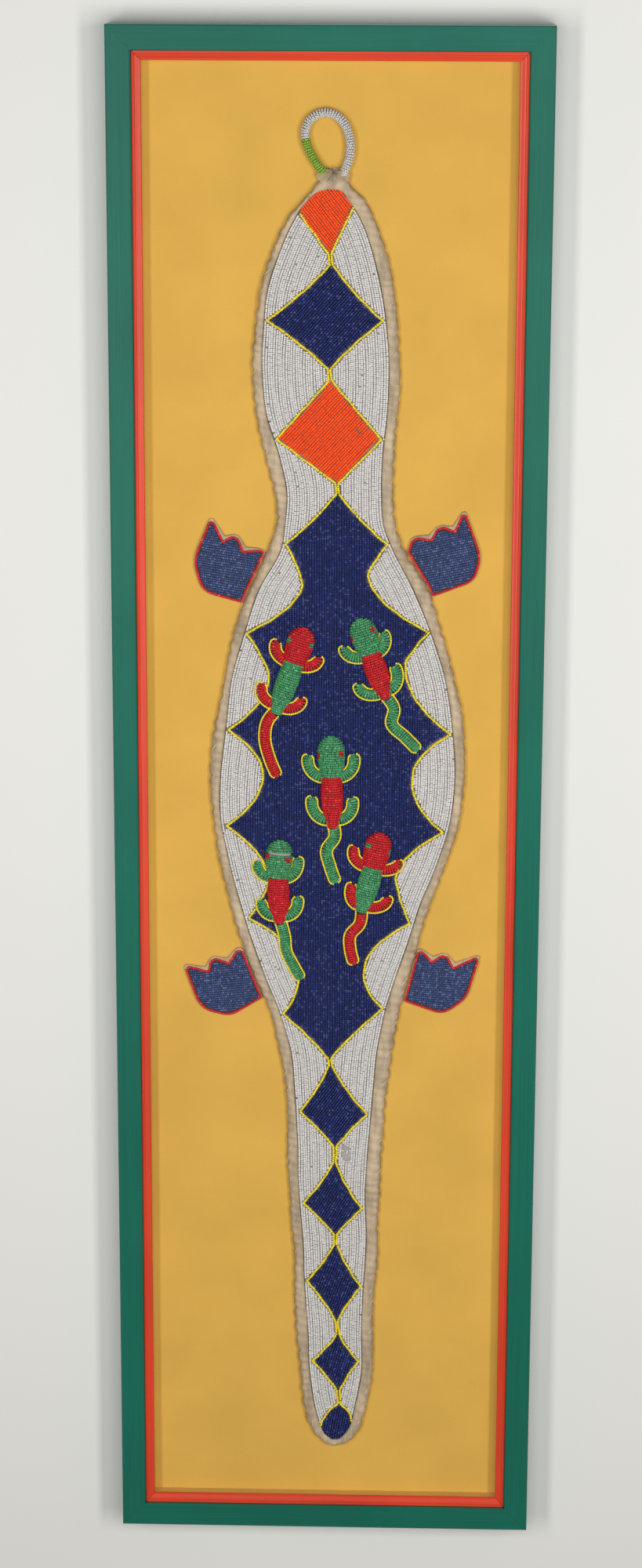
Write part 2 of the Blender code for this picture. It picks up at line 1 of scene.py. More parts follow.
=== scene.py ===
"""Framed beaded wall hanging.

The beads, cloth, hide, stitches, paint, light and camera that dress the solid parts of the frame and the
crocodile. Lengths named for the beadwork are millimetres across and up from the frame's centre, and out from
the backing board. in_frame turns them into metres in the shared frame.
"""
from collections import namedtuple
import math

import bpy
from mathutils import Matrix, kdtree
import numpy as np


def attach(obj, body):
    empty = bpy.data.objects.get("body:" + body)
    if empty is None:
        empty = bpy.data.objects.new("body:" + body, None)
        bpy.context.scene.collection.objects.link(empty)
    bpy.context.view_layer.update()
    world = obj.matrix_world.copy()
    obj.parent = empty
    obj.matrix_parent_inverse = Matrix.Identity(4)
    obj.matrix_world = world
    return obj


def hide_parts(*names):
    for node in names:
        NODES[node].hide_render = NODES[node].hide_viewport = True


bl_info = {
    "name": "Framed Beaded Wall Hanging",
    "version": (1, 0, 0),
    "blender": (4, 5, 0),
    "location": "View3D > Sidebar > Beadwork",
    "description": "Builds a beaded crocodile hanging in its painted frame",
    "category": "Object",
}

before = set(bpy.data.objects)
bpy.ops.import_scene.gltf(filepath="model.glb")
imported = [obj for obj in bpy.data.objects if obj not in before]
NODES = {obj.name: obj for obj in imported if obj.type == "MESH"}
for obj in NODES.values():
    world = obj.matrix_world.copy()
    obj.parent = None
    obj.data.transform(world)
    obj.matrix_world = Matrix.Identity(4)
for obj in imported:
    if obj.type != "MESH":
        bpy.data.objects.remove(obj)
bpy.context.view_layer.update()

# The frame's sides, as its nodes are named, and its centre and the board's face, in metres
SIDES = ("top", "right", "bottom", "left")
MM = 0.001
FRAME_CENTRE_Z = -0.662
BOARD_FACE_Y = -0.015

# Beadwork, in millimetres
SEW_GAP = 0.3
PANEL_EDGE_HEIGHT = 6.2
PANEL_CROWN = 3.6
BEAD_SINK = 1.0
CLOTH_SINK = 1.75
LINE_CLEAR = 1.65
LINE_SPLIT = 1.2
GAP_REACH = 1.8
GAP_SIZE = 1.72
EDGE_CLEAR = 0.8
FOOT_CLEARANCE = 0.9
FOOT_CLOTH = 2.3
FOOT_MARGIN = 1.5
FOOT_EDGE = 0.9
TOE_CUT = 3.6
LOOP_RADIUS = 4.0
LIZARD_LIFT = 0.3
HEAD_HALF_WIDTH = 12.3
HEAD_HEIGHT = 6.8
BODY_HALF_WIDTH = 10.3
BODY_HEIGHT = 6.2
LIMB_HALF_WIDTH = 4.6
LIMB_HEIGHT = 2.9
TAIL_HALF_WIDTH = 4.6
EYE_RADIUS = 2.3
END_ROUND = 4.0
STRIP_REACH = 14.0
BEAD_INSET = 0.9
LINE_INSET = -0.45
CORE_INSET = 1.6

# Where a lizard's legs and tail start along its body, and how far out its limbs start, as shares
LEG_PLACE = 0.84
TAIL_ROOT = 0.12
ROOT_REACH = 0.6

# Steps across a lizard's strip, and the direction out from the board
SECTION_STEPS = 41
OUTWARD = np.array([0.0, 0.0, 1.0])

# Bead rows: how many white ones follow an edge, the share of white beads that is missing, the steps over
# which the edge's slope is softened, where a motif's rows start and how far they reach, and the feet's rows
WHITE_ROWS = 46
MISSING_SHARE = 0.0025
SLOPE_STEPS = 61
MOTIF_MIDDLE = 8.0
MOTIF_WIDTH = 230.0
FOOT_ROW = 2.05
FOOT_REACH = 60.0
RED_BEAD_WIDTH = 2.35

# Hanging loop's beads, in millimetres, and how many lie round it
LOOP_AROUND = 12
LOOP_BEAD_LENGTH = 1.55
LOOP_BEAD_WIDTH = 1.88

# Grids of the cloth and the hide, their stitches, and the tuft at the loop's foot
CLOTH_ROWS = 200
CLOTH_COLUMNS = 21
EDGE_STEPS = 1440
EDGE_SECTION = 15
OUTLINE_STEPS = 900
FINE_STEPS = 6000
STITCH_SHARE = 0.72
STITCH_SLANT = 6.0
STITCH_RADIUS = 0.36
TUFT_ACROSS = 3.1
TUFT_UP = 552.6
FIBRE_UP = 551.0
FIBRES = 54
FIBRE_RADIUS = 0.12

# Shades of the ground cloth, as shares of its colour. Its dark colour is painted shade between the beads
# The bare cloth where beads have come off shows its own light colour
BARE_SHADE = 8.5
# Lighter under white beads, and under orange ones as painted light through them
PALE_SHADE = 6.6
WARM_SHADE = 3.2
# The loop's core and the coloured motifs stay dark, as painted shade between their beads
CORE_SHADE = 1.6
MOTIF_SHADE = 0.9

# Mitre joints of the rails, in millimetres from the frame's centre, and the level of the paint in them
FRAME_HALF_WIDTH = 185.0
FRAME_HALF_HEIGHT = 672.5
MITRE_MARGIN = 1.2
MITRE_RUN = 19.6
MITRE_HALF_WIDTH = 0.3
MITRE_LEVEL = 18.8

# Stage, in metres and radians: the wall, and the camera as it was fitted to the frame's corners
WALL_HALF = 4.0
WALL_GAP = 0.0015
CAMERA_PLACE = (0.07161, -2.85196, 0.10682)
CAMERA_TILT = -0.255626
CAMERA_ROLL = -0.0032932
CAMERA_SWING = 0.028179
CAMERA_LENS = 77.4
SENSOR_WIDTH = 36.0

Section = namedtuple("Section", "height left right")
Pair = namedtuple("Pair", "field binding")
Roll = namedtuple("Roll", "share rise")
Corner = namedtuple("Corner", "x z radius")
Girth = namedtuple("Girth", "along width tall")
Limb = namedtuple("Limb", "left_reach right_reach left_rise right_rise")
Lizard = namedtuple("Lizard", "name head neck rump arm leg tail eyes front back limbs")
Foot = namedtuple("Foot", "name side low high lean corners")
Turn = namedtuple("Turn", "left_up right_up reach aside hollow")
Motif = namedtuple("Motif", "name finish lean turns")
Worn = namedtuple("Worn", "x z half_width half_height share")
Beads = namedtuple("Beads", "place along out length width finish")
Strip = namedtuple("Strip", "run path aside half tall")
Glass = namedtuple("Glass", "key name roughness spread pale_share")
Lamp = namedtuple("Lamp", "name place target size power colour reflected")

# Beaded field: its left and right edge at each height, from the tail's tip to the head
FIELD = (
    Section(-591.0, 7.0, 12.0), Section(-586.0, 0.5, 17.0), Section(-577.0, -4.0, 22.5),
    Section(-560.0, -9.0, 26.5), Section(-527.0, -14.0, 32.5), Section(-480.0, -16.0, 32.5),
    Section(-440.0, -19.0, 34.0), Section(-400.0, -20.5, 36.3), Section(-345.0, -24.5, 35.0),
    Section(-300.0, -25.6, 37.8), Section(-260.0, -28.0, 41.0), Section(-215.0, -32.0, 44.8),
    Section(-180.0, -41.8, 51.0), Section(-150.0, -53.5, 59.5), Section(-120.0, -64.3, 69.5),
    Section(-80.0, -76.3, 81.5), Section(-40.0, -86.2, 96.5), Section(0.0, -93.4, 107.5),
    Section(40.0, -92.7, 110.4), Section(80.0, -87.9, 107.4), Section(120.0, -83.2, 101.3),
    Section(165.0, -71.0, 87.5), Section(200.0, -59.5, 73.0), Section(235.0, -40.5, 55.0),
    Section(255.0, -37.2, 47.0), Section(285.0, -35.8, 44.8), Section(315.0, -42.0, 45.5),
    Section(350.0, -52.8, 49.0), Section(385.0, -56.4, 50.2), Section(420.0, -55.5, 48.5),
    Section(455.0, -52.0, 43.5), Section(490.0, -40.5, 34.8), Section(510.0, -31.5, 27.5),
    Section(522.0, -24.5, 21.0), Section(531.0, -16.5, 14.0), Section(536.0, -10.5, 11.0),
    Section(538.3, -3.5, 7.5),
)

# Outer edge of the sewn binding at each height
BINDING = (
    Section(-597.8, 4.0, 14.0), Section(-592.0, -4.5, 23.0), Section(-583.0, -12.0, 30.0),
    Section(-563.0, -18.5, 36.5), Section(-543.0, -21.0, 40.5), Section(-502.0, -25.0, 43.5),
    Section(-462.0, -28.5, 43.0), Section(-422.0, -28.0, 46.5), Section(-382.0, -31.0, 46.5),
    Section(-342.0, -33.5, 48.5), Section(-302.0, -35.0, 50.0), Section(-262.0, -35.5, 53.0),
    Section(-217.0, -42.0, 58.5), Section(-182.0, -50.0, 63.5), Section(-152.0, -62.0, 71.0),
    Section(-122.0, -73.5, 78.5), Section(-82.0, -85.5, 90.0), Section(-41.0, -94.5, 105.0),
    Section(-1.0, -100.0, 115.5), Section(39.0, -102.5, 119.0), Section(79.0, -98.0, 117.5),
    Section(119.0, -90.0, 110.0), Section(164.0, -81.0, 97.5), Section(199.0, -68.0, 86.0),
    Section(234.0, -52.0, 65.5), Section(254.0, -45.0, 57.0), Section(279.0, -45.5, 55.0),
    Section(314.0, -54.5, 55.5), Section(349.0, -61.5, 58.0), Section(384.0, -65.0, 60.0),
    Section(419.0, -63.0, 58.0), Section(454.0, -58.0, 54.5), Section(489.0, -48.0, 46.5),
    Section(520.0, -31.0, 35.0), Section(530.0, -22.0, 29.5), Section(540.0, -13.5, 18.5),
    Section(545.0, -10.5, 16.0), Section(548.3, -9.5, 15.3),
)

# Which height of the binding's outer edge lies across from a height of the field's edge
PAIRS = (
    Pair(-591.0, -597.8), Pair(-577.0, -585.0), Pair(-560.0, -564.0), Pair(-500.0, -500.0),
    Pair(500.0, 500.0), Pair(520.0, 521.5), Pair(531.0, 534.0), Pair(536.0, 541.0), Pair(538.3, 548.3),
)

# Cross-section of the binding: share of the way from the field to the outer edge, and rise
ROLL = (
    Roll(0.00, 0.3), Roll(0.00, 5.4), Roll(0.10, 6.7), Roll(0.30, 7.4), Roll(0.60, 7.2),
    Roll(0.84, 5.8), Roll(0.97, 3.6), Roll(1.00, 2.0), Roll(0.94, 0.4),
)

# How far a motif's side is pulled in toward the middle line, as a share of its length. The side's middle
# moves half as far
SLIGHT = 0.08
DEEP = 0.30
BULGED = -0.28

# Motifs down the middle, each a chain of turns from its top to its foot. A turn has its height at the left
# and at the right, its reach as a share of the field's half width there, its shift to the right, and how far
# the side below it is pulled in
MOTIFS = (
    Motif("head_patch", "orange", -52.0, (
        Turn(520.0, 524.0, 1.00, 0.0, 0.0), Turn(486.0, 486.0, 0.00, 3.0, 0.0))),
    Motif("first_diamond", "navy", 48.0, (
        Turn(477.0, 477.0, 0.00, 5.0, SLIGHT), Turn(430.0, 430.0, 0.95, 0.0, SLIGHT),
        Turn(390.0, 390.0, 0.00, 3.0, 0.0))),
    Motif("second_diamond", "orange", 47.0, (
        Turn(380.0, 380.0, 0.00, 4.0, 0.0), Turn(330.0, 330.0, 0.95, 0.0, 0.0),
        Turn(293.0, 293.0, 0.00, 3.0, 0.0))),
    Motif("body", "navy", 90.0, (
        Turn(284.0, 284.0, 0.00, 3.0, SLIGHT), Turn(240.0, 240.0, 0.94, 0.0, SLIGHT),
        Turn(205.0, 214.0, 0.45, 0.0, DEEP), Turn(162.0, 164.0, 0.98, 0.0, SLIGHT),
        Turn(127.0, 138.0, 0.66, 0.0, DEEP), Turn(76.0, 74.0, 0.98, 0.0, DEEP),
        Turn(38.0, 38.0, 0.64, 0.0, DEEP), Turn(-10.0, -14.0, 0.96, 0.0, DEEP),
        Turn(-60.0, -55.0, 0.64, 0.0, SLIGHT), Turn(-94.0, -97.0, 0.95, 0.0, DEEP),
        Turn(-129.0, -135.0, 0.50, 0.0, DEEP), Turn(-182.0, -176.0, 0.95, 0.0, SLIGHT),
        Turn(-222.0, -222.0, 0.00, -4.0, 0.0))),
    Motif("third_diamond", "navy", 55.0, (
        Turn(-228.0, -228.0, 0.00, -3.0, SLIGHT), Turn(-273.0, -275.0, 0.90, 0.0, SLIGHT),
        Turn(-305.0, -305.0, 0.00, 2.0, 0.0))),
    Motif("fourth_diamond", "navy", 60.0, (
        Turn(-320.0, -320.0, 0.00, 2.0, SLIGHT), Turn(-360.0, -365.0, 0.90, 0.0, SLIGHT),
        Turn(-389.0, -389.0, 0.00, 1.0, 0.0))),
    Motif("fifth_diamond", "navy", 70.0, (
        Turn(-398.0, -398.0, 0.00, 1.0, SLIGHT), Turn(-435.0, -440.0, 0.92, 0.0, SLIGHT),
        Turn(-472.0, -472.0, 0.00, 2.0, 0.0))),
    Motif("sixth_diamond", "navy", 75.0, (
        Turn(-486.0, -486.0, 0.00, 3.0, SLIGHT), Turn(-513.0, -513.0, 0.87, 0.0, SLIGHT),
        Turn(-542.0, -542.0, 0.00, 3.0, 0.0))),
    Motif("tail_tip", "navy", 80.0, (
        Turn(-555.0, -555.0, 0.00, 4.0, BULGED), Turn(-579.0, -574.0, 1.02, 0.0, 0.0))),
)

# Places where beads have come off
WORN = (
    Worn(18.5, -312.0, 4.2, 7.0, 0.8), Worn(15.5, -305.0, 2.2, 2.2, 0.5), Worn(-43.0, -33.3, 14.0, 1.06, 1.0),
    Worn(24.0, 338.0, 2.0, 2.0, 0.5),
)

# Each foot: three toes and a heel as rounded corners. Its inner side follows the binding from low to high
FEET = (
    Foot("foot_front_left", -1, 187.0, 231.0, -9.0, (
        Corner(-57.0, 235.0, 3.0), Corner(-72.0, 234.5, 2.0), Corner(-78.0, 248.5, 5.5),
        Corner(-89.5, 243.5, 2.0), Corner(-100.5, 263.5, 6.0), Corner(-117.0, 224.0, 26.0),
        Corner(-108.5, 196.5, 14.0))),
    Foot("foot_front_right", 1, 194.0, 233.0, 12.0, (
        Corner(71.0, 247.0, 3.5), Corner(86.5, 246.0, 2.5), Corner(94.0, 257.5, 6.0),
        Corner(106.5, 253.5, 2.5), Corner(115.5, 271.0, 7.0), Corner(131.5, 229.0, 26.0),
        Corner(125.0, 207.5, 14.0))),
    Foot("foot_rear_left", -1, -168.0, -126.0, 5.0, (
        Corner(-77.5, -119.5, 4.5), Corner(-87.5, -134.0, 2.5), Corner(-102.5, -129.5, 5.0),
        Corner(-106.0, -142.0, 2.5), Corner(-127.5, -137.5, 4.0), Corner(-112.5, -180.0, 24.0),
        Corner(-85.0, -186.0, 14.0))),
    Foot("foot_rear_right", 1, -170.0, -124.0, -3.0, (
        Corner(80.5, -119.0, 4.5), Corner(93.0, -130.5, 2.5), Corner(104.5, -123.5, 5.5),
        Corner(112.0, -136.0, 2.5), Corner(135.5, -125.5, 6.0), Corner(124.0, -167.0, 20.0),
        Corner(103.0, -182.5, 14.0))),
)

# Route of the hanging loop's middle line, from its left root round to its right root
LOOP_ROUTE = (
    (-4.6, 548.9), (-4.7, 550.9), (-8.8, 556.5), (-15.0, 566.0), (-19.8, 577.0), (-20.6, 587.5),
    (-15.8, 596.5), (-4.8, 601.4), (5.8, 598.6), (13.4, 589.5), (16.6, 577.5), (15.4, 562.0),
    (11.0, 550.9), (10.9, 548.9),
)
LIME_TOP = 579.5

# How wide and tall a lizard is along its head and then its body, as shares of the largest
HEAD_SHAPE = (
    Girth(0.00, 0.22, 0.20), Girth(0.04, 0.52, 0.50), Girth(0.12, 0.76, 0.78), Girth(0.26, 0.95, 0.95),
    Girth(0.50, 1.00, 1.00), Girth(0.80, 0.90, 0.94), Girth(1.00, 0.80, 0.90),
)
BODY_SHAPE = (
    Girth(0.04, 0.86, 0.92), Girth(0.28, 1.00, 1.00), Girth(0.58, 0.94, 0.96), Girth(0.82, 0.70, 0.80),
    Girth(1.00, 0.46, 0.50),
)

# Each lizard: head's top, neck and body's end, its limbs, its tail's bends, its eyes and its bead colours
LIZARDS = (
    Lizard("lizard_upper_left", (-19.5, 167.5), (-29.5, 136.5), (-45.0, 91.5),
           Limb(15.5, 14.5, 14.5, 13.0), Limb(16.0, 14.0, 14.5, 14.0),
           ((-52.5, 84.0), (-54.5, 71.5), (-50.5, 52.5), (-43.5, 35.5)),
           ((-33.5, 157.5), (-14.0, 152.0)), "red", "green", "red"),
    Lizard("lizard_upper_right", (26.5, 176.0), (36.5, 145.0), (50.5, 106.0),
           Limb(15.5, 12.0, 14.5, 16.0), Limb(16.0, 13.0, 14.0, 20.0),
           ((57.0, 97.0), (55.0, 84.5), (67.0, 72.0), (78.5, 60.0)),
           ((38.0, 167.5), (20.0, 158.0)), "green", "red", "green"),
    Lizard("lizard_centre", (3.0, 72.5), (3.5, 36.0), (5.0, -9.5),
           Limb(16.0, 15.5, 20.5, 20.5), Limb(15.0, 14.5, 21.5, 20.0),
           ((6.5, -17.5), (-0.5, -29.5), (2.5, -44.5), (8.0, -60.0)),
           ((-8.0, 56.0), (11.5, 57.0)), "green", "red", "green"),
    Lizard("lizard_lower_left", (-41.0, -21.5), (-43.0, -55.5), (-41.5, -97.0),
           Limb(13.5, 13.0, 15.0, 19.5), Limb(12.5, 13.0, 15.0, 18.5),
           ((-37.0, -110.0), (-36.0, -121.5), (-28.5, -137.5), (-22.5, -148.5)),
           ((-52.0, -36.5), (-34.0, -38.5)), "green", "red", "green"),
    Lizard("lizard_lower_right", (47.0, -14.0), (40.0, -45.5), (29.5, -86.5),
           Limb(16.0, 16.0, 15.5, 12.0), Limb(10.5, 16.5, 18.0, 13.5),
           ((28.5, -97.0), (20.5, -107.0), (20.5, -120.0), (24.0, -134.0)),
           ((36.0, -25.0), (55.5, -31.0)), "red", "green", "red"),
)

# The ground cloth's colour is dark, for painted shade between the beads; its shade attribute lifts it where
# bare
COLOURS = {
    "white": "#D2CFCC", "navy": "#162460", "foot_navy": "#374875", "orange": "#FF4E0A",
    "yellow": "#E6D12A", "red": "#C51C24", "green": "#469361", "lime": "#92B43C", "hide": "#AD9A7F",
    "thread": "#C7C1B5", "ground": "#3B3836", "cloth": "#CFA349", "green_paint": "#106251",
    "red_paint": "#CF3F26", "wall": "#DCDCD8",
}


# Helpers


def linear(code):
    """Linear red, green and blue of an sRGB hex colour."""
    parts = [int(code[k:k + 2], 16) / 255 for k in (1, 3, 5)]
    return tuple(p / 12.92 if p <= 0.04045 else ((p + 0.055) / 1.055) ** 2.4 for p in parts)


def in_frame(points):
    """Turn (across, up, out) millimetres into metres in the part's frame."""
    points = np.asarray(points, dtype=float)
    return np.stack([points[..., 0] * MM, BOARD_FACE_Y - points[..., 2] * MM,
                     FRAME_CENTRE_Z + points[..., 1] * MM], axis=-1)


def read_curve(places, values, at):
    """Smooth curve through a column: cubic between rows, with each row's slope from its neighbours."""
    places = np.asarray(places, dtype=float)
    values = np.asarray(values, dtype=float)
    at = np.asarray(at, dtype=float)
    slopes = np.gradient(values, places, axis=0)
    row = np.clip(np.searchsorted(places, at) - 1, 0, len(places) - 2)
    span = places[row + 1] - places[row]
    t = np.clip((at - places[row]) / span, 0.0, 1.0)
    if values.ndim == 2:
        span, t = span[..., None], t[..., None]
    return ((2 * t**3 - 3 * t**2 + 1) * values[row] + (t**3 - 2 * t**2 + t) * span * slopes[row]
            + (3 * t**2 - 2 * t**3) * values[row + 1] + (t**3 - t**2) * span * slopes[row + 1])


def edges(sections, height):
    """Left and right edge of a table of sections at the given heights."""
    places = [row.height for row in sections]
    return (read_curve(places, [row.left for row in sections], height),
            read_curve(places, [row.right for row in sections], height))


def panel_rise(across, up):
    """How far the beaded field stands out from the board: an even edge, and a crown along its middle."""
    low, high = FIELD[0].height, FIELD[-1].height
    up = np.clip(up, low, high)
    left, right = edges(FIELD, up)
    across_share = np.clip((2 * across - left - right) / (right - left), -1.0, 1.0)
    along_share = (2 * up - low - high) / (high - low)
    return PANEL_EDGE_HEIGHT + PANEL_CROWN * (1 - across_share**2) * (1 - along_share**8)


def unit(vectors):
    """Vectors of length one."""
    return vectors / np.linalg.norm(vectors, axis=-1, keepdims=True)


def run_of(points):
    """Length along a line of points, from its start to each of them."""
    return np.concatenate([[0.0], np.cumsum(np.linalg.norm(np.diff(points, axis=0), axis=1))])


def at_run(line, run, at):
    """Points of a line at some lengths along it."""
    return np.stack([np.interp(at, run, line[:, k]) for k in range(line.shape[1])], axis=-1)


def square_to(along, out):
    """The first directions, turned as little as it takes to stand square to the second ones."""
    return unit(along - out * np.sum(along * out, axis=1, keepdims=True))


def finder(points):
    """A tree that finds the nearest of some places, seen from the front."""
    tree = kdtree.KDTree(len(points))
    for k, place in enumerate(points):
        tree.insert((place[0], place[1], 0.0), k)
    tree.balance()
    return tree


def field_heights(count):
    """Heights of the field's cross-sections: even along its length and closer at both ends."""
    low_end = (-591.0, -589.0, -586.0, -582.0, -577.0, -569.0)
    high_end = (517.0, 524.0, 529.0, 533.0, 536.0, 538.3)
    base = np.concatenate([low_end, np.linspace(-560.0, 508.0, 58), high_end])
    return np.interp(np.linspace(0, len(base) - 1, count), np.arange(len(base)), base)


def finish_mesh(name, points, faces, materials, face_slots=None, smooth=True):
    """Put points and faces into a new object that rides on the part."""
    mesh = bpy.data.meshes.new(name)
    points = np.asarray(points, dtype=np.float32).reshape(-1, 3)
    faces = np.asarray(faces, dtype=np.int32)
    mesh.vertices.add(len(points))
    mesh.vertices.foreach_set("co", points.ravel())
    mesh.loops.add(faces.size)
    mesh.loops.foreach_set("vertex_index", faces.ravel())
    mesh.polygons.add(len(faces))
    mesh.polygons.foreach_set("loop_start", np.arange(0, faces.size, faces.shape[1], dtype=np.int32))
    for finish in materials:
        mesh.materials.append(finish)
    if face_slots is not None:
        mesh.polygons.foreach_set("material_index", np.asarray(face_slots, dtype=np.int32))
    mesh.update(calc_edges=True)
    mesh.validate()
    if smooth:
        mesh.shade_smooth()
    piece = bpy.data.objects.new(name, mesh)
    bpy.context.scene.collection.objects.link(piece)
    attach(piece, "root")
    return piece


def grid_faces(rows, columns, wrap_rows=False, wrap_columns=False, offset=0):
    """Quads of a grid of points, joined to itself where it wraps."""
    r = np.arange(rows if wrap_rows else rows - 1)[:, None]
    c = np.arange(columns if wrap_columns else columns - 1)[None, :]
    r2, c2 = (r + 1) % rows, (c + 1) % columns
    quads = np.stack([r * columns + c, r * columns + c2, r2 * columns + c2, r2 * columns + c], axis=-1)
    return quads.reshape(-1, 4) + offset


def set_shade(piece, values):
    """Write how light each point of a piece is, as a share of its material's colour."""
    attribute = piece.data.attributes.new("shade", "FLOAT", "POINT")
    attribute.data.foreach_set("value", np.asarray(values, dtype=np.float32).ravel())


def worn_distance(patch, across, up):
    """Distance of places from the middle of a worn patch, squared, with 1 at the patch's rim."""
    return ((across - patch.x) / patch.half_width)**2 + ((up - patch.z) / patch.half_height)**2


def bare_shade(points):
    """Ground cloth in painted shade between its beads, at 1, and in its own lighter colour where they have
    come off.
    """
    shade = np.ones(points.shape[:-1])
    for patch in WORN:
        shade = np.where(worn_distance(patch, points[..., 0], points[..., 1]) < 1.2, BARE_SHADE, shade)
    return shade


def grid_piece(name, points, finish, wrap_rows=False, wrap_columns=False, flip=False):
    """One grid of points (rows, columns, 3) in millimetres as a piece."""
    rows, columns = points.shape[:2]
    faces = grid_faces(rows, columns, wrap_rows, wrap_columns)
    if flip:
        faces = faces[:, ::-1]
    return finish_mesh(name, in_frame(points), faces, [finish])


def ringed_piece(name, grids, finish):
    """Several grids of points, each closed round its columns, as one piece. Returns it and its points."""
    faces = []
    offset = 0
    for grid in grids:
        faces.append(grid_faces(*grid.shape[:2], wrap_columns=True, offset=offset))
        offset += grid.shape[0] * grid.shape[1]
    points = np.concatenate([grid.reshape(-1, 3) for grid in grids])
    return finish_mesh(name, in_frame(points), np.concatenate(faces), [finish]), points


def capped(rings):
    """Rings of points with both ends closed: each end ring once more, drawn in to its own middle."""
    middle = rings.mean(axis=1, keepdims=True)
    first = np.repeat(middle[:1], rings.shape[1], axis=1)
    last = np.repeat(middle[-1:], rings.shape[1], axis=1)
    return np.concatenate([first, rings, last])


# Beads

# One bead: the place and girth of its rings, as shares of its length and width, and its spokes in degrees
BEAD_RINGS = ((-0.50, 0.72), (-0.27, 1.00), (0.27, 1.00), (0.50, 0.72))
BEAD_ANGLES = (-15.0, 37.5, 90.0, 142.5, 195.0)


def bead_shell():
    """The exposed side of one bead, lying along its thread: points, quads and a flat layout of them."""
    points = []
    flat = []
    for ring, (along, girth) in enumerate(BEAD_RINGS):
        for spoke, angle in enumerate(np.radians(BEAD_ANGLES)):
            points.append((along, 0.5 * girth * math.cos(angle), 0.5 * girth * math.sin(angle)))
            flat.append((spoke / (len(BEAD_ANGLES) - 1), ring / (len(BEAD_RINGS) - 1)))
    quads = grid_faces(len(BEAD_RINGS), len(BEAD_ANGLES))
    return np.array(points), quads, np.array(flat)


def bead_piece(name, beads, finishes):
    """Many beads as one mesh. Each has its own tone and its own small square in the flat layout."""
    shell, quads, flat = bead_shell()
    count = len(beads.place)
    aside = np.cross(beads.out, beads.along)
    points = (beads.place[:, None]
              + beads.along[:, None] * (shell[:, :1] * beads.length[:, None, None])
              + aside[:, None] * (shell[:, 1:2] * beads.width[:, None, None])
              + beads.out[:, None] * (shell[:, 2:] * beads.width[:, None, None]))
    faces = (quads[None] + np.arange(count)[:, None, None] * len(shell)).reshape(-1, 4)
    names = list(finishes)
    slots = np.array([names.index(f) for f in beads.finish]) if len(names) > 1 else np.zeros(count, int)
    piece = finish_mesh(name, in_frame(points), faces, [finishes[n] for n in names],
                        np.repeat(slots, len(quads)))
    mesh = piece.data
    tone = np.random.default_rng(count).random(count)
    attribute = mesh.attributes.new("tone", "FLOAT", "POINT")
    attribute.data.foreach_set("value", np.repeat(tone, len(shell)).astype(np.float32))
    side = math.ceil(math.sqrt(count))
    cells = np.stack([np.arange(count) % side, np.arange(count) // side], axis=1)
    spread = (cells[:, None] + 0.08 + 0.84 * flat[None]) / side
    layout = mesh.uv_layers.new(name="OFBake")
    corners = spread.reshape(-1, 2)[faces.ravel()]
    layout.data.foreach_set("uv", corners.astype(np.float32).ravel())


def join_beads(*groups):
    """Several groups of beads as one."""
    columns = [np.concatenate([getattr(g, f) for g in groups]) for f in Beads._fields]
    return Beads(*columns)


def some_beads(beads, keep):
    """The beads that a mask keeps."""
    return Beads(*[column[keep] for column in beads])


def halves(beads):
    """The lower and the upper half of some beads, because one piece of them all would be too large."""
    order = np.argsort(beads.place[:, 1])
    middle = len(order) // 2
    return ("lower", some_beads(beads, order[:middle])), ("upper", some_beads(beads, order[middle:]))


def lay_on_field(across, up, heading, rng, finish, pitch, sink=BEAD_SINK):
    """Beads at these places on the field's rounded front, each with its thread at an angle from level."""
    step = 0.4
    level = panel_rise(across, up)
    slope_across = (panel_rise(across + step, up) - panel_rise(across - step, up)) / (2 * step)
    slope_up = (panel_rise(across, up + step) - panel_rise(across, up - step)) / (2 * step)
    count = len(across)
    heading = heading + rng.normal(0.0, 0.035, count)
    run_a, run_u = np.cos(heading), np.sin(heading)
    along = unit(np.stack([run_a, run_u, slope_across * run_a + slope_up * run_u], axis=1))
    out = np.stack([-slope_across, -slope_up, np.ones(count)], axis=1) + rng.normal(0.0, 0.035, (count, 3))
    out = unit(out)
    along = square_to(along, out)
    place = np.stack([across, up, level - sink + rng.normal(0.0, 0.06, count)], axis=1)
    length = pitch.length * rng.normal(0.93, 0.03, count)
    width = pitch.row * rng.normal(0.985, 0.02, count)
    return Beads(place, along, out, length, width, np.full(count, finish))


def turn_place(turn, side):
    """Where one side of a motif turns: its reach from the field's middle line, at that side's height."""
    up = turn.left_up if side < 0 else turn.right_up
    left, right = edges(FIELD, np.array([up]))
    reach = max(turn.reach * (right[0] - left[0]) / 2, LINE_SPLIT)
    return np.array([(left[0] + right[0]) / 2 + turn.aside + side * reach, up])


def motif_side(motif, side, steps=48):
    """One side of a motif: from each turn to the next a soft bend, pulled in sideways at its middle."""
    places = [turn_place(turn, side) for turn in motif.turns]
    t = np.linspace(0.0, 1.0, steps)[:, None]
    parts = []
    for turn, here, there in zip(motif.turns, places, places[1:]):
        pull = (here + there) / 2 - np.array([side * turn.hollow * math.dist(here, there), 0.0])
        parts.append((1 - t)**2 * here + 2 * t * (1 - t) * pull + t**2 * there)
    return np.concatenate(parts)


def motif_span(motif):
    """Top and bottom of a motif. The first and the last one run on to the field's ends."""
    heights = [up for turn in motif.turns for up in (turn.left_up, turn.right_up)]
    top = FIELD[-1].height if motif is MOTIFS[0] else max(heights)
    bottom = FIELD[0].height if motif is MOTIFS[-1] else min(heights)
    return top, bottom


def border_line(side):
    """The yellow line down one side of all the motifs, which splits white beads from coloured ones."""
    line = np.concatenate([motif_side(motif, side) for motif in MOTIFS])
    step = np.linalg.norm(np.diff(line, axis=0), axis=1)
    line = line[np.concatenate([[True], step > 1e-6])]
    run = run_of(line)
    return at_run(line, run, np.arange(0.0, run[-1], 0.4))


def near_line(lines, across, up):
    """Distance from each place to the nearest point of the lines."""
    tree = finder(np.concatenate(lines))
    return np.array([tree.find((x, z, 0.0))[2] for x, z in zip(across, up)])


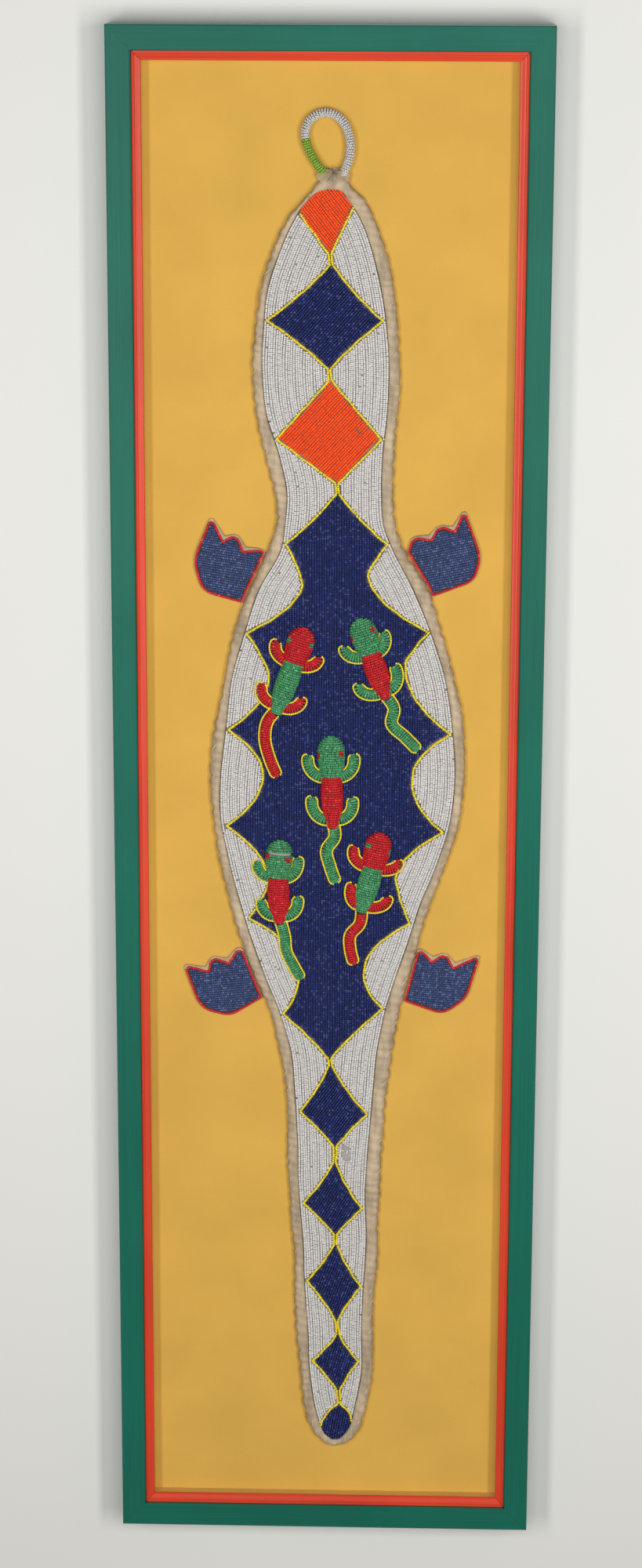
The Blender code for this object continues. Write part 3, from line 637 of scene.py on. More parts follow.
def field_margin(across, up):
    """How far inside the field's edge a place is, roughly at a right angle to the edge."""
    low, high = FIELD[0].height, FIELD[-1].height
    left, right = edges(FIELD, up)
    left_next, right_next = edges(FIELD, up + 0.5)
    left_slope, right_slope = (left_next - left) * 2, (right_next - right) * 2
    from_left = (across - left) / np.hypot(1, left_slope)
    from_right = (right - across) / np.hypot(1, right_slope)
    return np.minimum(np.minimum(from_left, from_right), np.minimum(up - low, high - up))


def border_at(side, line, up):
    """Where the border line is at a height. Beyond its ends it lies outside the field."""
    order = np.argsort(line[:, 1])
    x = np.interp(up, line[order, 1], line[order, 0])
    beyond = (up > line[:, 1].max()) | (up < line[:, 1].min())
    return np.where(beyond, side * 400.0, x)


def between_lines(lines, across, up):
    """True for places between the two yellow lines."""
    return (across > border_at(-1, lines[0], up)) & (across < border_at(1, lines[1], up))


def worn_mask(across, up, rng):
    """True where a bead is still there."""
    keep = np.ones(len(across), bool)
    for patch in WORN:
        near = worn_distance(patch, across, up) < 1.0
        keep &= ~(near & (rng.random(len(across)) < patch.share))
    return keep


def under_strip(strip, across, up, margin):
    """True for places inside a strip's footprint made smaller by a margin."""
    gap = np.hypot(across[:, None] - strip.path[None, :, 0], up[:, None] - strip.path[None, :, 1])
    near = gap.argmin(axis=1)
    away = np.stack([across, up], axis=1) - strip.path[near]
    sideways = np.abs(np.sum(away * strip.aside[near], axis=1))
    lengthwise = np.sqrt(np.maximum(np.sum(away**2, axis=1) - sideways**2, 0.0))
    return (sideways < strip.half[near] - margin) & (lengthwise < 0.7)


def lizard_cover(across, up):
    """True where a lizard doesn't hide the field."""
    clear = np.ones(len(across), bool)
    for lizard in LIZARDS:
        for strip in lizard_strips(lizard).values():
            low, high = strip.path.min(axis=0) - STRIP_REACH, strip.path.max(axis=0) + STRIP_REACH
            near = np.nonzero((across > low[0]) & (across < high[0]) & (up > low[1]) & (up < high[1]))[0]
            if len(near):
                clear[near[under_strip(strip, across[near], up[near], 1.3)]] = False
    return clear


def fill_gaps(beads, border, way, allowed, rng, pitch):
    """Smaller beads in the gaps that rows leave beside a line, on its left (way 1) or its right (way -1)."""
    ahead = unit(np.gradient(border, axis=0))
    beside = (border + way * GAP_REACH * np.stack([-ahead[:, 1], ahead[:, 0]], axis=1))[::2]
    heading = np.arctan2(ahead[:, 1], ahead[:, 0])[::2]
    keep = allowed(beside[:, 0], beside[:, 1])
    beside, heading = beside[keep], heading[keep]
    tree = finder(beads.place)
    chosen = []
    for k, (x, z) in enumerate(beside):
        if tree.find((x, z, 0.0))[2] < GAP_SIZE:
            continue
        if all(math.dist((x, z), beside[other]) > GAP_SIZE for other in chosen[-12:]):
            chosen.append(k)
    if not chosen:
        return beads
    extra = lay_on_field(beside[chosen, 0], beside[chosen, 1], heading[chosen], rng, beads.finish[0], pitch)
    return join_beads(beads, extra._replace(width=extra.width * 0.86, length=extra.length * 0.9))


def fill_all(beads, lines, inside, rng, pitch):
    """Fill the gaps beside both yellow lines and along the field's edge."""
    def allowed(across, up):
        keep = inside(across, up) & (field_margin(across, up) > EDGE_CLEAR * 0.5)
        keep[keep] = near_line(lines, across[keep], up[keep]) > GAP_REACH - 0.2
        keep[keep] = lizard_cover(across[keep], up[keep])
        return keep

    for border in (*lines, binding_line(FINE_STEPS)[0]):
        for way in (-1, 1):
            beads = fill_gaps(beads, border, way, allowed, rng, pitch)
    return beads


def white_beads(side, lines, rng, pitch):
    """White rows that follow the field's nearer edge, each a little further in, up to the yellow line."""
    up = np.arange(FIELD[0].height + 1.0, FIELD[-1].height - 1.0, 0.5)
    left, right = edges(FIELD, up)
    edge = left if side < 0 else right
    slope = np.clip(np.gradient(edge, up), -0.8, 0.8)
    kernel = np.hanning(SLOPE_STEPS)
    slope = np.convolve(np.pad(slope, SLOPE_STEPS // 2, "edge"), kernel / kernel.sum(), "valid")
    stretch = np.hypot(1.0, slope)
    phase = 0.0
    all_across, all_up, all_heading = [], [], []
    for row in range(WHITE_ROWS):
        sway = 0.16 * np.sin(up / 23.0 + 1.7 * row) + 0.10 * np.sin(up / 7.3 + 0.9 * row)
        x = edge - side * ((row + 0.5) * pitch.row * stretch + EDGE_CLEAR * 0.2 + sway)
        run = run_of(np.stack([x, up], axis=1))
        phase = (phase + rng.normal(0.0, 0.22)) % pitch.length
        at = np.arange(phase, run[-1], pitch.length)
        at = at + rng.normal(0.0, 0.09, len(at))
        here_up = np.interp(at, run, up)
        all_up.append(here_up)
        all_across.append(np.interp(at, run, x))
        all_heading.append(np.arctan2(1.0, np.interp(here_up, up, np.gradient(x, up))))
    across, up, heading = (np.concatenate(c) for c in (all_across, all_up, all_heading))
    line = lines[0 if side < 0 else 1]
    keep = side * (across - border_at(side, line, up)) > 0
    keep &= field_margin(across, up) > EDGE_CLEAR * 0.6
    across, up, heading = across[keep], up[keep], heading[keep]
    keep = (near_line(lines, across, up) > LINE_CLEAR) & lizard_cover(across, up)
    keep &= worn_mask(across, up, rng) & (rng.random(len(across)) > MISSING_SHARE)
    beads = lay_on_field(across[keep], up[keep], heading[keep], rng, "white", pitch)
    return fill_all(beads, lines, lambda x, z: side * (x - border_at(side, line, z)) > 0, rng, pitch)


def leaning_rows(middle, lean, along, offset):
    """Places about a middle on rows at a lean, from their lengths along the rows and beside them."""
    across = (middle[0] + along * math.cos(lean) - offset * math.sin(lean)).ravel()
    up = (middle[1] + along * math.sin(lean) + offset * math.cos(lean)).ravel()
    return across, up


def motif_beads(motif, lines, rng, pitch):
    """Rows at one lean that fill a motif between its yellow lines."""
    top, bottom = motif_span(motif)
    lean = math.radians(motif.lean)
    reach = 0.5 * math.hypot(MOTIF_WIDTH, top - bottom)
    rows = np.arange(-reach, reach, pitch.row)
    steps = np.arange(-reach, reach, pitch.length)
    phase = np.cumsum(rng.normal(0.0, 0.3, len(rows)))
    along = steps[None, :] + phase[:, None] + rng.normal(0.0, 0.08, (len(rows), len(steps)))
    sway = 0.22 * np.sin(along / 31.0 + 0.05 * rows[:, None]) + 0.12 * np.sin(along / 8.0 + rows[:, None])
    across, up = leaning_rows((MOTIF_MIDDLE, (top + bottom) / 2), lean, along, rows[:, None] + sway)
    keep = (up < top) & (up > bottom)
    across, up = across[keep], up[keep]
    keep = between_lines(lines, across, up) & (field_margin(across, up) > -EDGE_CLEAR)
    across, up = across[keep], up[keep]
    keep = (near_line(lines, across, up) > LINE_CLEAR) & lizard_cover(across, up) & worn_mask(across, up, rng)
    across, up = across[keep], up[keep]
    beads = lay_on_field(across, up, np.full(len(across), lean), rng, motif.finish, pitch)

    def inside(x, z):
        return between_lines(lines, x, z) & (z < top) & (z > bottom)

    return fill_all(beads, lines, inside, rng, pitch)


def line_beads(line, rng, finish, pitch, sink=BEAD_SINK - 0.3):
    """One row of beads along a line on the field."""
    run = run_of(line)
    at = np.arange(0.6, run[-1], pitch.length * 1.02)
    at = at + rng.normal(0.0, 0.08, len(at))
    across = np.interp(at, run, line[:, 0]) + 0.22 * np.sin(at / 2.9) + rng.normal(0.0, 0.09, len(at))
    up = np.interp(at, run, line[:, 1]) + 0.22 * np.cos(at / 3.7) + rng.normal(0.0, 0.09, len(at))
    ahead = at_run(line, run, at + 0.8) - at_run(line, run, at - 0.8)
    keep = (field_margin(across, up) > 0.3) & lizard_cover(across, up)
    heading = np.arctan2(ahead[:, 1], ahead[:, 0])
    beads = lay_on_field(across[keep], up[keep], heading[keep], rng, finish, pitch, sink)
    return beads._replace(width=beads.width * 1.03, length=beads.length * 1.02)


# Lizards


def make_strip(path, half, tall):
    """A soft strip along a path of points that are already close together."""
    path = np.asarray(path, dtype=float)
    heading = unit(np.gradient(path, axis=0))
    aside = np.stack([-heading[:, 1], heading[:, 0]], axis=1)
    return Strip(run_of(path), path, aside, np.asarray(half), np.asarray(tall))


def on_strip(strip, run, turn, inset=0.0):
    """Point of a strip: across it by the sine of the turn and out of it by the cosine, above the field."""
    centre = at_run(strip.path, strip.run, run)
    aside = at_run(strip.aside, strip.run, run)
    half = np.maximum(np.interp(run, strip.run, strip.half) - inset, 0.2)
    tall = np.maximum(np.interp(run, strip.run, strip.tall) - inset, 0.1)
    flat = centre + unit(aside) * (half * np.sin(turn))[..., None]
    rise = panel_rise(flat[..., 0], flat[..., 1]) + LIZARD_LIFT + tall * np.cos(turn)
    return np.stack([flat[..., 0], flat[..., 1], rise], axis=-1)


def dense(points, step=0.5):
    """Points along a smooth curve through a few given ones."""
    points = np.asarray(points, dtype=float)
    run = run_of(points)
    return read_curve(run, points, np.linspace(0.0, run[-1], max(int(run[-1] / step), 4)))


def limb_path(root, up_way, out_way, reach, rise):
    """Bent arm or leg: a quarter of an ellipse out from the body and up, over its reach and its rise."""
    angle = np.radians(np.array([-25.0, 5.0, 35.0, 65.0, 95.0, 112.0]))
    outward = reach * (0.1 + 0.9 * np.sin(np.maximum(angle, -0.3)))
    upward = rise * (1 - np.cos(angle)) / (1 - np.cos(angle[-1]))
    return root + np.outer(outward, out_way) + np.outer(upward, up_way)


def rounded_strip(points, half, tall):
    """A strip of even width on a smooth curve through a few points, which ends in a half round."""
    path = dense(points)
    run = run_of(path)
    share = np.clip((run - run[-1] + END_ROUND) / END_ROUND, 0.0, 1.0)
    end = np.sqrt(np.clip(1.0 - share**2, 0.05, 1.0))
    return make_strip(path, half * end, tall * end)


# Strips of each lizard, kept here once they are worked out
STRIPS = {}


def trunk_strip(head, neck, rump):
    """The head and body of a lizard: two straight lengths, each with its own girths."""
    first = np.linalg.norm(neck - head)
    second = np.linalg.norm(rump - neck)
    run = np.arange(0.0, first + second, 0.5)
    share = run[:, None]
    path = np.where(share < first, head + (neck - head) * share / first,
                    neck + (rump - neck) * (share - first) / second)
    places = [row.along * first for row in HEAD_SHAPE] + [first + row.along * second for row in BODY_SHAPE]
    half = [HEAD_HALF_WIDTH * row.width for row in HEAD_SHAPE]
    half += [BODY_HALF_WIDTH * row.width for row in BODY_SHAPE]
    tall = [HEAD_HEIGHT * row.tall for row in HEAD_SHAPE] + [BODY_HEIGHT * row.tall for row in BODY_SHAPE]
    return make_strip(path, np.interp(run, places, half), np.interp(run, places, tall))


def lizard_strips(lizard):
    """The trunk, four limbs and tail of a lizard as strips, worked out once."""
    if lizard.name in STRIPS:
        return STRIPS[lizard.name]
    head, neck, rump = (np.array(p) for p in (lizard.head, lizard.neck, lizard.rump))
    strips = {"trunk": trunk_strip(head, neck, rump)}
    up_way = unit(head - rump)
    out_way = np.array([up_way[1], -up_way[0]])
    for label, place, limb, share in (("arm", 0.0, lizard.arm, 0.7), ("leg", LEG_PLACE, lizard.leg, 0.5)):
        root = neck + (rump - neck) * place
        sides = ((-1, limb.left_reach, limb.left_rise), (1, limb.right_reach, limb.right_rise))
        for way, reach, rise in sides:
            start = root + way * BODY_HALF_WIDTH * share * ROOT_REACH * out_way
            points = limb_path(start, up_way, way * out_way, reach, rise)
            strips[f"{label}_{way}"] = rounded_strip(points, LIMB_HALF_WIDTH, LIMB_HEIGHT)
    points = [rump + (neck - rump) * TAIL_ROOT, *lizard.tail]
    strips["tail"] = rounded_strip(points, TAIL_HALF_WIDTH, LIMB_HEIGHT)
    STRIPS[lizard.name] = strips
    return strips


def strip_beads(strip, finish_of, rng, pitch, inset, span=88.0, start=0.7):
    """Rows of beads across a strip, one row after another along it."""
    places, alongs, outs, finishes = [], [], [], []
    turns = np.radians(np.linspace(-span, span, SECTION_STEPS))
    length = run_of(on_strip(strip, strip.run, np.zeros(len(strip.run)), inset))
    for run in np.interp(np.arange(start, length[-1] - 0.4, pitch.row), length, strip.run):
        section = on_strip(strip, np.full(SECTION_STEPS, run), turns, inset)
        length = run_of(section)
        count = max(int(round(length[-1] / pitch.length)), 1)
        at = (np.arange(count) + 0.5) / count * length[-1]
        turn = np.interp(at, length, turns) + rng.normal(0.0, 0.015, count)
        here = np.full(count, run) + rng.normal(0.0, 0.06, count)
        place = on_strip(strip, here, turn, inset)
        along = on_strip(strip, here, turn + 0.03, inset) - on_strip(strip, here, turn - 0.03, inset)
        ahead = on_strip(strip, here + 0.4, turn, inset) - on_strip(strip, here - 0.4, turn, inset)
        out = unit(np.cross(unit(along), unit(ahead)))
        out = out * np.sign(out[:, 2:] + 1e-3)
        places.append(place)
        alongs.append(unit(along))
        outs.append(out)
        finishes.append(finish_of(run, place))
    place, along, out = (np.concatenate(c) for c in (places, alongs, outs))
    out = unit(out + rng.normal(0.0, 0.06, out.shape))
    along = square_to(along, out)
    count = len(place)
    return Beads(place, along, out, pitch.length * rng.normal(0.96, 0.04, count),
                 pitch.row * rng.normal(0.97, 0.035, count), np.concatenate(finishes))


def strip_lines(strip, rng, pitch):
    """Yellow beads along both sides of a limb or tail, low beside it."""
    groups = []
    for way in (-1, 1):
        side = on_strip(strip, strip.run, np.full(len(strip.run), way * math.pi / 2), LINE_INSET)
        length = run_of(side)
        run = np.interp(np.arange(0.8, length[-1] - 0.6, pitch.length * 1.06), length, strip.run)
        count = len(run)
        turn = np.full(count, way * math.pi / 2)
        place = on_strip(strip, run, turn, LINE_INSET)
        place[:, 2] += 0.25
        ahead, behind = (on_strip(strip, run + step, turn, LINE_INSET) for step in (0.6, -0.6))
        along = unit(ahead - behind)
        out = square_to(np.tile(OUTWARD, (count, 1)) + rng.normal(0.0, 0.08, (count, 3)), along)
        groups.append(Beads(place, along, out, np.full(count, pitch.length * 0.97),
                            np.full(count, pitch.row * 0.82), np.full(count, "yellow")))
    return join_beads(*groups)


def clear_of(beads, strip, margin):
    """Beads whose place is outside a strip's footprint."""
    inside = under_strip(strip, beads.place[:, 0], beads.place[:, 1], margin)
    return some_beads(beads, ~inside)


def lizard_beads(lizard, finishes, pitch):
    """A lizard's beads: its trunk in two colours with its eyes, then its limbs and tail with their lines."""
    rng = np.random.default_rng(sum(map(ord, lizard.name)))
    strips = lizard_strips(lizard)
    trunk = strips["trunk"]
    neck_run = math.dist(lizard.head, lizard.neck)
    other = {"red": "green", "green": "red"}

    def trunk_finish(run, place):
        colour = np.full(len(place), lizard.front if run < neck_run else lizard.back, dtype="U9")
        for eye in lizard.eyes:
            seen = np.hypot(place[:, 0] - eye[0], place[:, 1] - eye[1]) < EYE_RADIUS
            colour[seen] = other[lizard.front]
        return colour

    def limb_finish(run, place):
        return np.full(len(place), lizard.limbs)

    beads = strip_beads(trunk, trunk_finish, rng, pitch, BEAD_INSET)
    groups = [some_beads(beads, worn_mask(beads.place[:, 0], beads.place[:, 1], rng))]
    for name, strip in strips.items():
        if name != "trunk":
            limb = strip_beads(strip, limb_finish, rng, pitch, BEAD_INSET, 75.0)
            groups.append(clear_of(join_beads(limb, strip_lines(strip, rng, pitch)), trunk, 1.4))
    used = {name: finishes[name] for name in ("red", "green", "yellow")}
    bead_piece(f"{lizard.name}_beads", join_beads(*groups), used)


def lizard_cloth(lizard, finish):
    """A lizard's stuffed cloth: each strip as a shell a bead's depth inside, closed below and at its ends,
    dark as painted shade between the beads.
    """
    turns = np.radians(np.linspace(-90.0, 90.0, 9))
    shells = []
    for strip in lizard_strips(lizard).values():
        runs = np.linspace(0.0, strip.run[-1], max(int(strip.run[-1] / 2.2), 5))
        top = on_strip(strip, runs[:, None] + 0 * turns, 0 * runs[:, None] + turns, CORE_INSET)
        base = top[:, ::-1].copy()
        base[..., 2] = panel_rise(base[..., 0], base[..., 1]) - 1.0
        shells.append(capped(np.concatenate([top, base[:, 1:-1]], axis=1)))
    core, points = ringed_piece(f"{lizard.name}_cloth", shells, finish)
    set_shade(core, bare_shade(points))
    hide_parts(lizard.name)


# Cloth, hide, loop and feet


def ground_shade(points, lines):
    """Painted shade of the field's ground: light under white, less light under orange as painted light
    through it, dark under navy, palest bare.
    """
    across, up = points[..., 0], points[..., 1]
    coloured = between_lines(lines, across, up)
    shade = np.where(coloured, MOTIF_SHADE, PALE_SHADE)
    for motif in MOTIFS:
        if motif.finish == "orange":
            top, bottom = motif_span(motif)
            shade = np.where(coloured & (up > bottom) & (up < top), WARM_SHADE, shade)
    bare = bare_shade(points)
    return np.maximum(shade, bare * (bare > 1.0))


def field_cloth(finish, lines):
    """The stuffed cloth under the beads: the field's own form, a bead lower, closed behind."""
    heights = field_heights(CLOTH_ROWS)
    left, right = edges(FIELD, heights)
    left, right = left + SEW_GAP, right - SEW_GAP
    shares = np.linspace(-1.0, 1.0, CLOTH_COLUMNS)
    across = (left + right)[:, None] / 2 + (right - left)[:, None] / 2 * shares
    up = np.repeat(heights[:, None], len(shares), axis=1)
    front = np.stack([across, up, panel_rise(across, up) - CLOTH_SINK], axis=-1)
    back = front[:, ::-1].copy()
    back[..., 2] = SEW_GAP
    rings = capped(np.concatenate([front, back], axis=1))
    piece = grid_piece("field_cloth", rings, finish, wrap_columns=True)
    set_shade(piece, ground_shade(rings, lines))
    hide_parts("bead_panel")


def closed_resample(points, count):
    """A closed line of points, evenly spaced again and softened a little."""
    loop = np.concatenate([points, points[:1]])
    run = run_of(loop[:, :2])
    even = at_run(loop, run, np.linspace(0.0, run[-1], count, endpoint=False))
    for _ in range(3):
        even = 0.5 * even + 0.25 * (np.roll(even, 1, axis=0) + np.roll(even, -1, axis=0))
    return even


def binding_line(count):
    """Inner and outer line of the binding at the same steps round the crocodile, and the length to each."""
    heights = field_heights(OUTLINE_STEPS)
    outer_heights = np.interp(heights, [row.field for row in PAIRS], [row.binding for row in PAIRS])
    field_left, field_right = edges(FIELD, heights)
    left, right = edges(BINDING, outer_heights)
    both = np.stack([
        np.concatenate([field_right, field_left[::-1]]), np.concatenate([heights, heights[::-1]]),
        np.concatenate([right, left[::-1]]), np.concatenate([outer_heights, outer_heights[::-1]]),
    ], axis=1)
    even = closed_resample(both, count)
    run = run_of(np.concatenate([even[:, :2], even[:1, :2]]))
    return even[:, :2], even[:, 2:], run[:-1], run[-1]


def pucker(run):
    """Uneven outline of the sewn edge along its run, from -1 to 1."""
    return (np.sin(run / 9.1) + 0.7 * np.sin(run / 15.7 + 1.3) + 0.5 * np.sin(run / 33.0 + 0.4)) / 2.2


def even_gap(total, stitch_gap):
    """The distance between stitches that divides the whole edge evenly."""
    return total / round(total / stitch_gap)


def binding_point(inner, outer, run, section, stitch_gap):
    """Point of the hide edge: its rolled section, with puckers, pinches at the stitches and wrinkles."""
    place = section * (len(ROLL) - 1)
    share, rise = (read_curve(np.arange(len(ROLL)), column, place) for column in zip(*ROLL))
    over = np.sin(np.clip((section - 0.12) / 0.88, 0.0, 1.0) * math.pi)
    to_stitch = (run + stitch_gap / 2) % stitch_gap - stitch_gap / 2
    pinch = np.exp(-(to_stitch / 2.2)**2) * np.clip((section - 0.45) * 3.0, 0.0, 1.0)
    patch = 0.55 + 0.45 * np.sin(run / 41.0 + 2.0) * np.sin(run / 17.0)
    long_folds = np.sin(run / 1.25 + 5.0 * section + 2.0 * np.sin(run / 13.0)) * 0.5
    short_folds = np.sin(run / 2.9 - 4.0 * section) * 0.5
    swell = 0.45 * pucker(run) * over - 0.9 * pinch + 0.66 * patch * (long_folds + short_folds) * over
    away = outer - inner
    width = np.linalg.norm(away, axis=-1, keepdims=True)
    ripple = 0.35 * np.sin(run / 1.9 + 2.0 * np.sin(run / 11.0))
    uneven = 0.45 * pucker(run) + ripple - 1.1 * pinch
    reach = share[..., None] * (1.0 + uneven[..., None] / width * share[..., None])
    flat = inner + away / width * 0.15 + away * reach
    return np.concatenate([flat, (np.maximum(rise + swell, 0.3))[..., None]], axis=-1)


def edge_shade(run, section):
    """Painted shade of the hide edge: darker where it rolls down to the board and beside the field, partly
    its own browner edge, and where it is dirty, with painted light on its folds and painted shade in its
    creases.
    """
    dirt_and_shade = 0.5 + 0.5 * np.sin(run / 23.0 + 0.8) * np.sin(run / 8.3)
    # Painted shade where the roll goes down to the board and into the seam by the field, with the hide's
    # browner outer edge; the blotches also vary its depth
    low_side = np.clip((section - 0.62) / 0.38, 0.0, 1.0) + 0.9 * np.clip((0.2 - section) / 0.2, 0.0, 1.0)
    folds = np.sin(run / 1.25 + 5.0 * section + 2.0 * np.sin(run / 13.0))
    crease_shade = np.maximum(np.sin(run / 0.83 + 2.2 * section + 3.0 * np.sin(run / 7.1)), 0.0)**4
    crease_shade = crease_shade * (0.5 + 0.5 * np.sin(run / 19.0 + 1.1))
    return 1.08 - (0.36 + 0.20 * dirt_and_shade) * low_side - 0.10 * dirt_and_shade + 0.09 * folds - 0.16 * crease_shade


def hide_edge(finish, stitch_gap):
    """The hide turned over the field's edge, as one closed roll round the crocodile."""
    inner, outer, run, total = binding_line(EDGE_STEPS)
    section = np.broadcast_to(np.linspace(0.0, 1.0, EDGE_SECTION), (EDGE_STEPS, EDGE_SECTION))
    runs = np.broadcast_to(run[:, None], section.shape)
    points = binding_point(inner[:, None], outer[:, None], runs, section, even_gap(total, stitch_gap))
    piece = grid_piece("hide_edge", points, finish, wrap_rows=True, wrap_columns=True)
    set_shade(piece, edge_shade(run[:, None], section))
    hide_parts("edge_binding")


def whip_stitches(thread, stitch_gap):
    """Light stitches over the hide's outer side, unevenly spaced, without those that sink out of sight."""
    inner, outer, run, total = binding_line(EDGE_STEPS)
    stitch_gap = even_gap(total, stitch_gap)
    rng = np.random.default_rng(5)
    middles = np.arange(0.0, total, stitch_gap) + rng.normal(0.0, 1.2, round(total / stitch_gap))
    steps = np.linspace(0.0, 1.0, 8)
    tubes = []
    for middle in middles[rng.random(len(middles)) < STITCH_SHARE]:
        slant = rng.normal(STITCH_SLANT, 1.2)
        here = (middle + slant * (steps - 0.5)) % total
        level = rng.uniform(0.42, 0.52) + (rng.uniform(0.74, 0.84) - 0.46) * steps
        low = np.floor(here / total * EDGE_STEPS).astype(int) % EDGE_STEPS
        path = binding_point(inner[low], outer[low], run[low], level, stitch_gap)
        path[:, :2] = path[0, :2] + (path[-1, :2] - path[0, :2]) * steps[:, None]
        straight = path[0, 2] + (path[-1, 2] - path[0, 2]) * steps
        path[:, 2] = np.maximum(path[:, 2], straight) + 0.9 * np.sin(steps * math.pi)**0.5 - 0.2
        tubes.append(path)
    tube_piece("whip_stitches", tubes, STITCH_RADIUS, thread)


def tube_piece(name, paths, radius, finish, sides=5):
    """Thin round tubes along several short paths, with pointed ends, as one mesh."""
    tubes = []
    turn = np.linspace(0.0, 2 * math.pi, sides, endpoint=False)
    for path in paths:
        ahead = unit(np.gradient(path, axis=0))
        side = unit(np.cross(ahead, OUTWARD) + 1e-6)
        top = np.cross(side, ahead)
        size = radius * np.where(np.arange(len(path)) % (len(path) - 1) == 0, 0.05, 1.0)
        tubes.append(path[:, None] + size[:, None, None] * (
            side[:, None] * np.cos(turn)[None, :, None] + top[:, None] * np.sin(turn)[None, :, None]))
    return ringed_piece(name, tubes, finish)[0]


def loop_frame(run_at):
    """Middle line of the hanging loop with its direction and its two cross directions."""
    route = np.array(LOOP_ROUTE)
    run = run_of(route)
    flat = read_curve(run, route, run_at)
    step = 0.5
    ahead = read_curve(run, route, run_at + step) - read_curve(run, route, run_at - step)
    ahead = unit(ahead)
    centre = np.concatenate([flat, np.full((len(flat), 1), SEW_GAP + LOOP_RADIUS)], axis=1)
    along = np.concatenate([ahead, np.zeros((len(flat), 1))], axis=1)
    side = np.stack([-ahead[:, 1], ahead[:, 0], np.zeros(len(flat))], axis=1)
    return centre, along, side


def loop_beads(finishes, pitch):
    """Rings of beads round the loop: lime up to a height on the left, white for the rest."""
    total = run_of(np.array(LOOP_ROUTE))[-1]
    rng = np.random.default_rng(11)
    rings = np.arange(1.2, total - 1.0, pitch.row * 0.98)
    centre, along, side = loop_frame(rings)
    half_step = 0.5 * (np.arange(len(rings)) % 2)[:, None]
    turn = (np.arange(LOOP_AROUND) + half_step) / LOOP_AROUND * 2 * math.pi
    turn = turn + rng.normal(0.0, 0.015, turn.shape)
    out = side[:, None] * np.cos(turn)[..., None] + OUTWARD * np.sin(turn)[..., None]
    thread = -side[:, None] * np.sin(turn)[..., None] + OUTWARD * np.cos(turn)[..., None]
    slip = along[:, None] * rng.normal(0.0, 0.08, turn.shape)[..., None]
    place = centre[:, None] + out * (LOOP_RADIUS - 1.0) + slip
    lime = (centre[:, 1] < LIME_TOP) & (rings < total / 2)
    finish = np.repeat(np.where(lime, "lime", "white"), LOOP_AROUND)
    count = finish.size
    beads = Beads(place.reshape(-1, 3), thread.reshape(-1, 3), out.reshape(-1, 3),
                  np.full(count, LOOP_BEAD_LENGTH) * rng.normal(1.0, 0.04, count),
                  np.full(count, LOOP_BEAD_WIDTH) * rng.normal(1.0, 0.03, count), finish)
    used = {name: finishes[name] for name in ("white", "lime")}
    bead_piece("loop_beads", beads, used)


def loop_core(finish):
    """The loop's soft core, a round rope along its middle line under the beads, dark as painted shade between
    them.
    """
    total = run_of(np.array(LOOP_ROUTE))[-1]
    centre, _, side = loop_frame(np.linspace(0.0, total, 90))
    turn = np.linspace(0.0, 2 * math.pi, 16, endpoint=False)[None, :, None]
    core = centre[:, None] + (LOOP_RADIUS - 1.3) * (side[:, None] * np.cos(turn) + OUTWARD * np.sin(turn))
    piece = grid_piece("loop_core", core, finish, wrap_columns=True, flip=True)
    set_shade(piece, np.full(core.shape[:2], CORE_SHADE))
    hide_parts("hanging_loop")


def gathered_hide(finish):
    """Small fan of folds where the loop's ends are sewn into the hide at the head."""
    turn = np.linspace(0.0, 2 * math.pi, 320, endpoint=False)
    reach = np.linspace(0.0, 1.0, 18)
    bend = turn[:, None] + 0.16 * np.sin(turn * 5.0 + 0.7)[:, None] * reach
    fine_folds = np.sin(turn * 41.0 + 3.0 * np.sin(turn * 2.0)) * 0.35
    folds = np.sin(turn * 19.0 + 2.0 * np.sin(turn * 3.0)) * 0.5 + fine_folds + np.sin(turn * 7.0) * 0.25
    low_side = 0.5 - 0.5 * np.sin(turn)
    length = 2.6 + 8.4 * low_side**2 + 7.0 * np.abs(np.cos(turn))**2 * (0.35 + low_side) + 0.9 * folds
    across = TUFT_ACROSS + np.cos(bend) * reach * length[:, None] * 1.15
    up = TUFT_UP + np.sin(bend) * reach * length[:, None] * 0.85
    ridge = np.sin(math.pi * np.clip(0.12 + reach * 0.88, 0.0, 1.0))
    out = 5.0 + 3.0 * ridge + folds[:, None] * 0.75 * ridge
    piece = grid_piece("gathered_hide", np.stack([across, up, out], axis=-1), finish, wrap_rows=True)
    # Painted shade in the hollow at the middle, and painted light and shade along the folds
    set_shade(piece, 0.72 + 0.24 * reach + 0.16 * folds[:, None] * ridge)


def gathered_fibres(thread):
    """Loose fibres that stand out of the gathered hide and curl a little."""
    rng = np.random.default_rng(3)
    fibres = []
    steps = np.linspace(0.0, 1.0, 6)
    for _ in range(FIBRES):
        way = rng.uniform(0.0, 2 * math.pi)
        start = rng.uniform(1.5, 7.0)
        reach = start + rng.uniform(1.8, 4.2) * steps
        curl = way + rng.normal(0.0, 0.35) * steps**2
        across = TUFT_ACROSS + 1.2 * reach * np.cos(curl)
        up = FIBRE_UP + 0.75 * reach * np.sin(curl)
        out = 8.0 - 0.25 * reach + rng.uniform(0.0, 1.2) * np.sin(2.2 * steps)
        fibres.append(np.stack([across, up, out], axis=1))
    tube_piece("gathered_fibres", fibres, FIBRE_RADIUS, thread, 4)


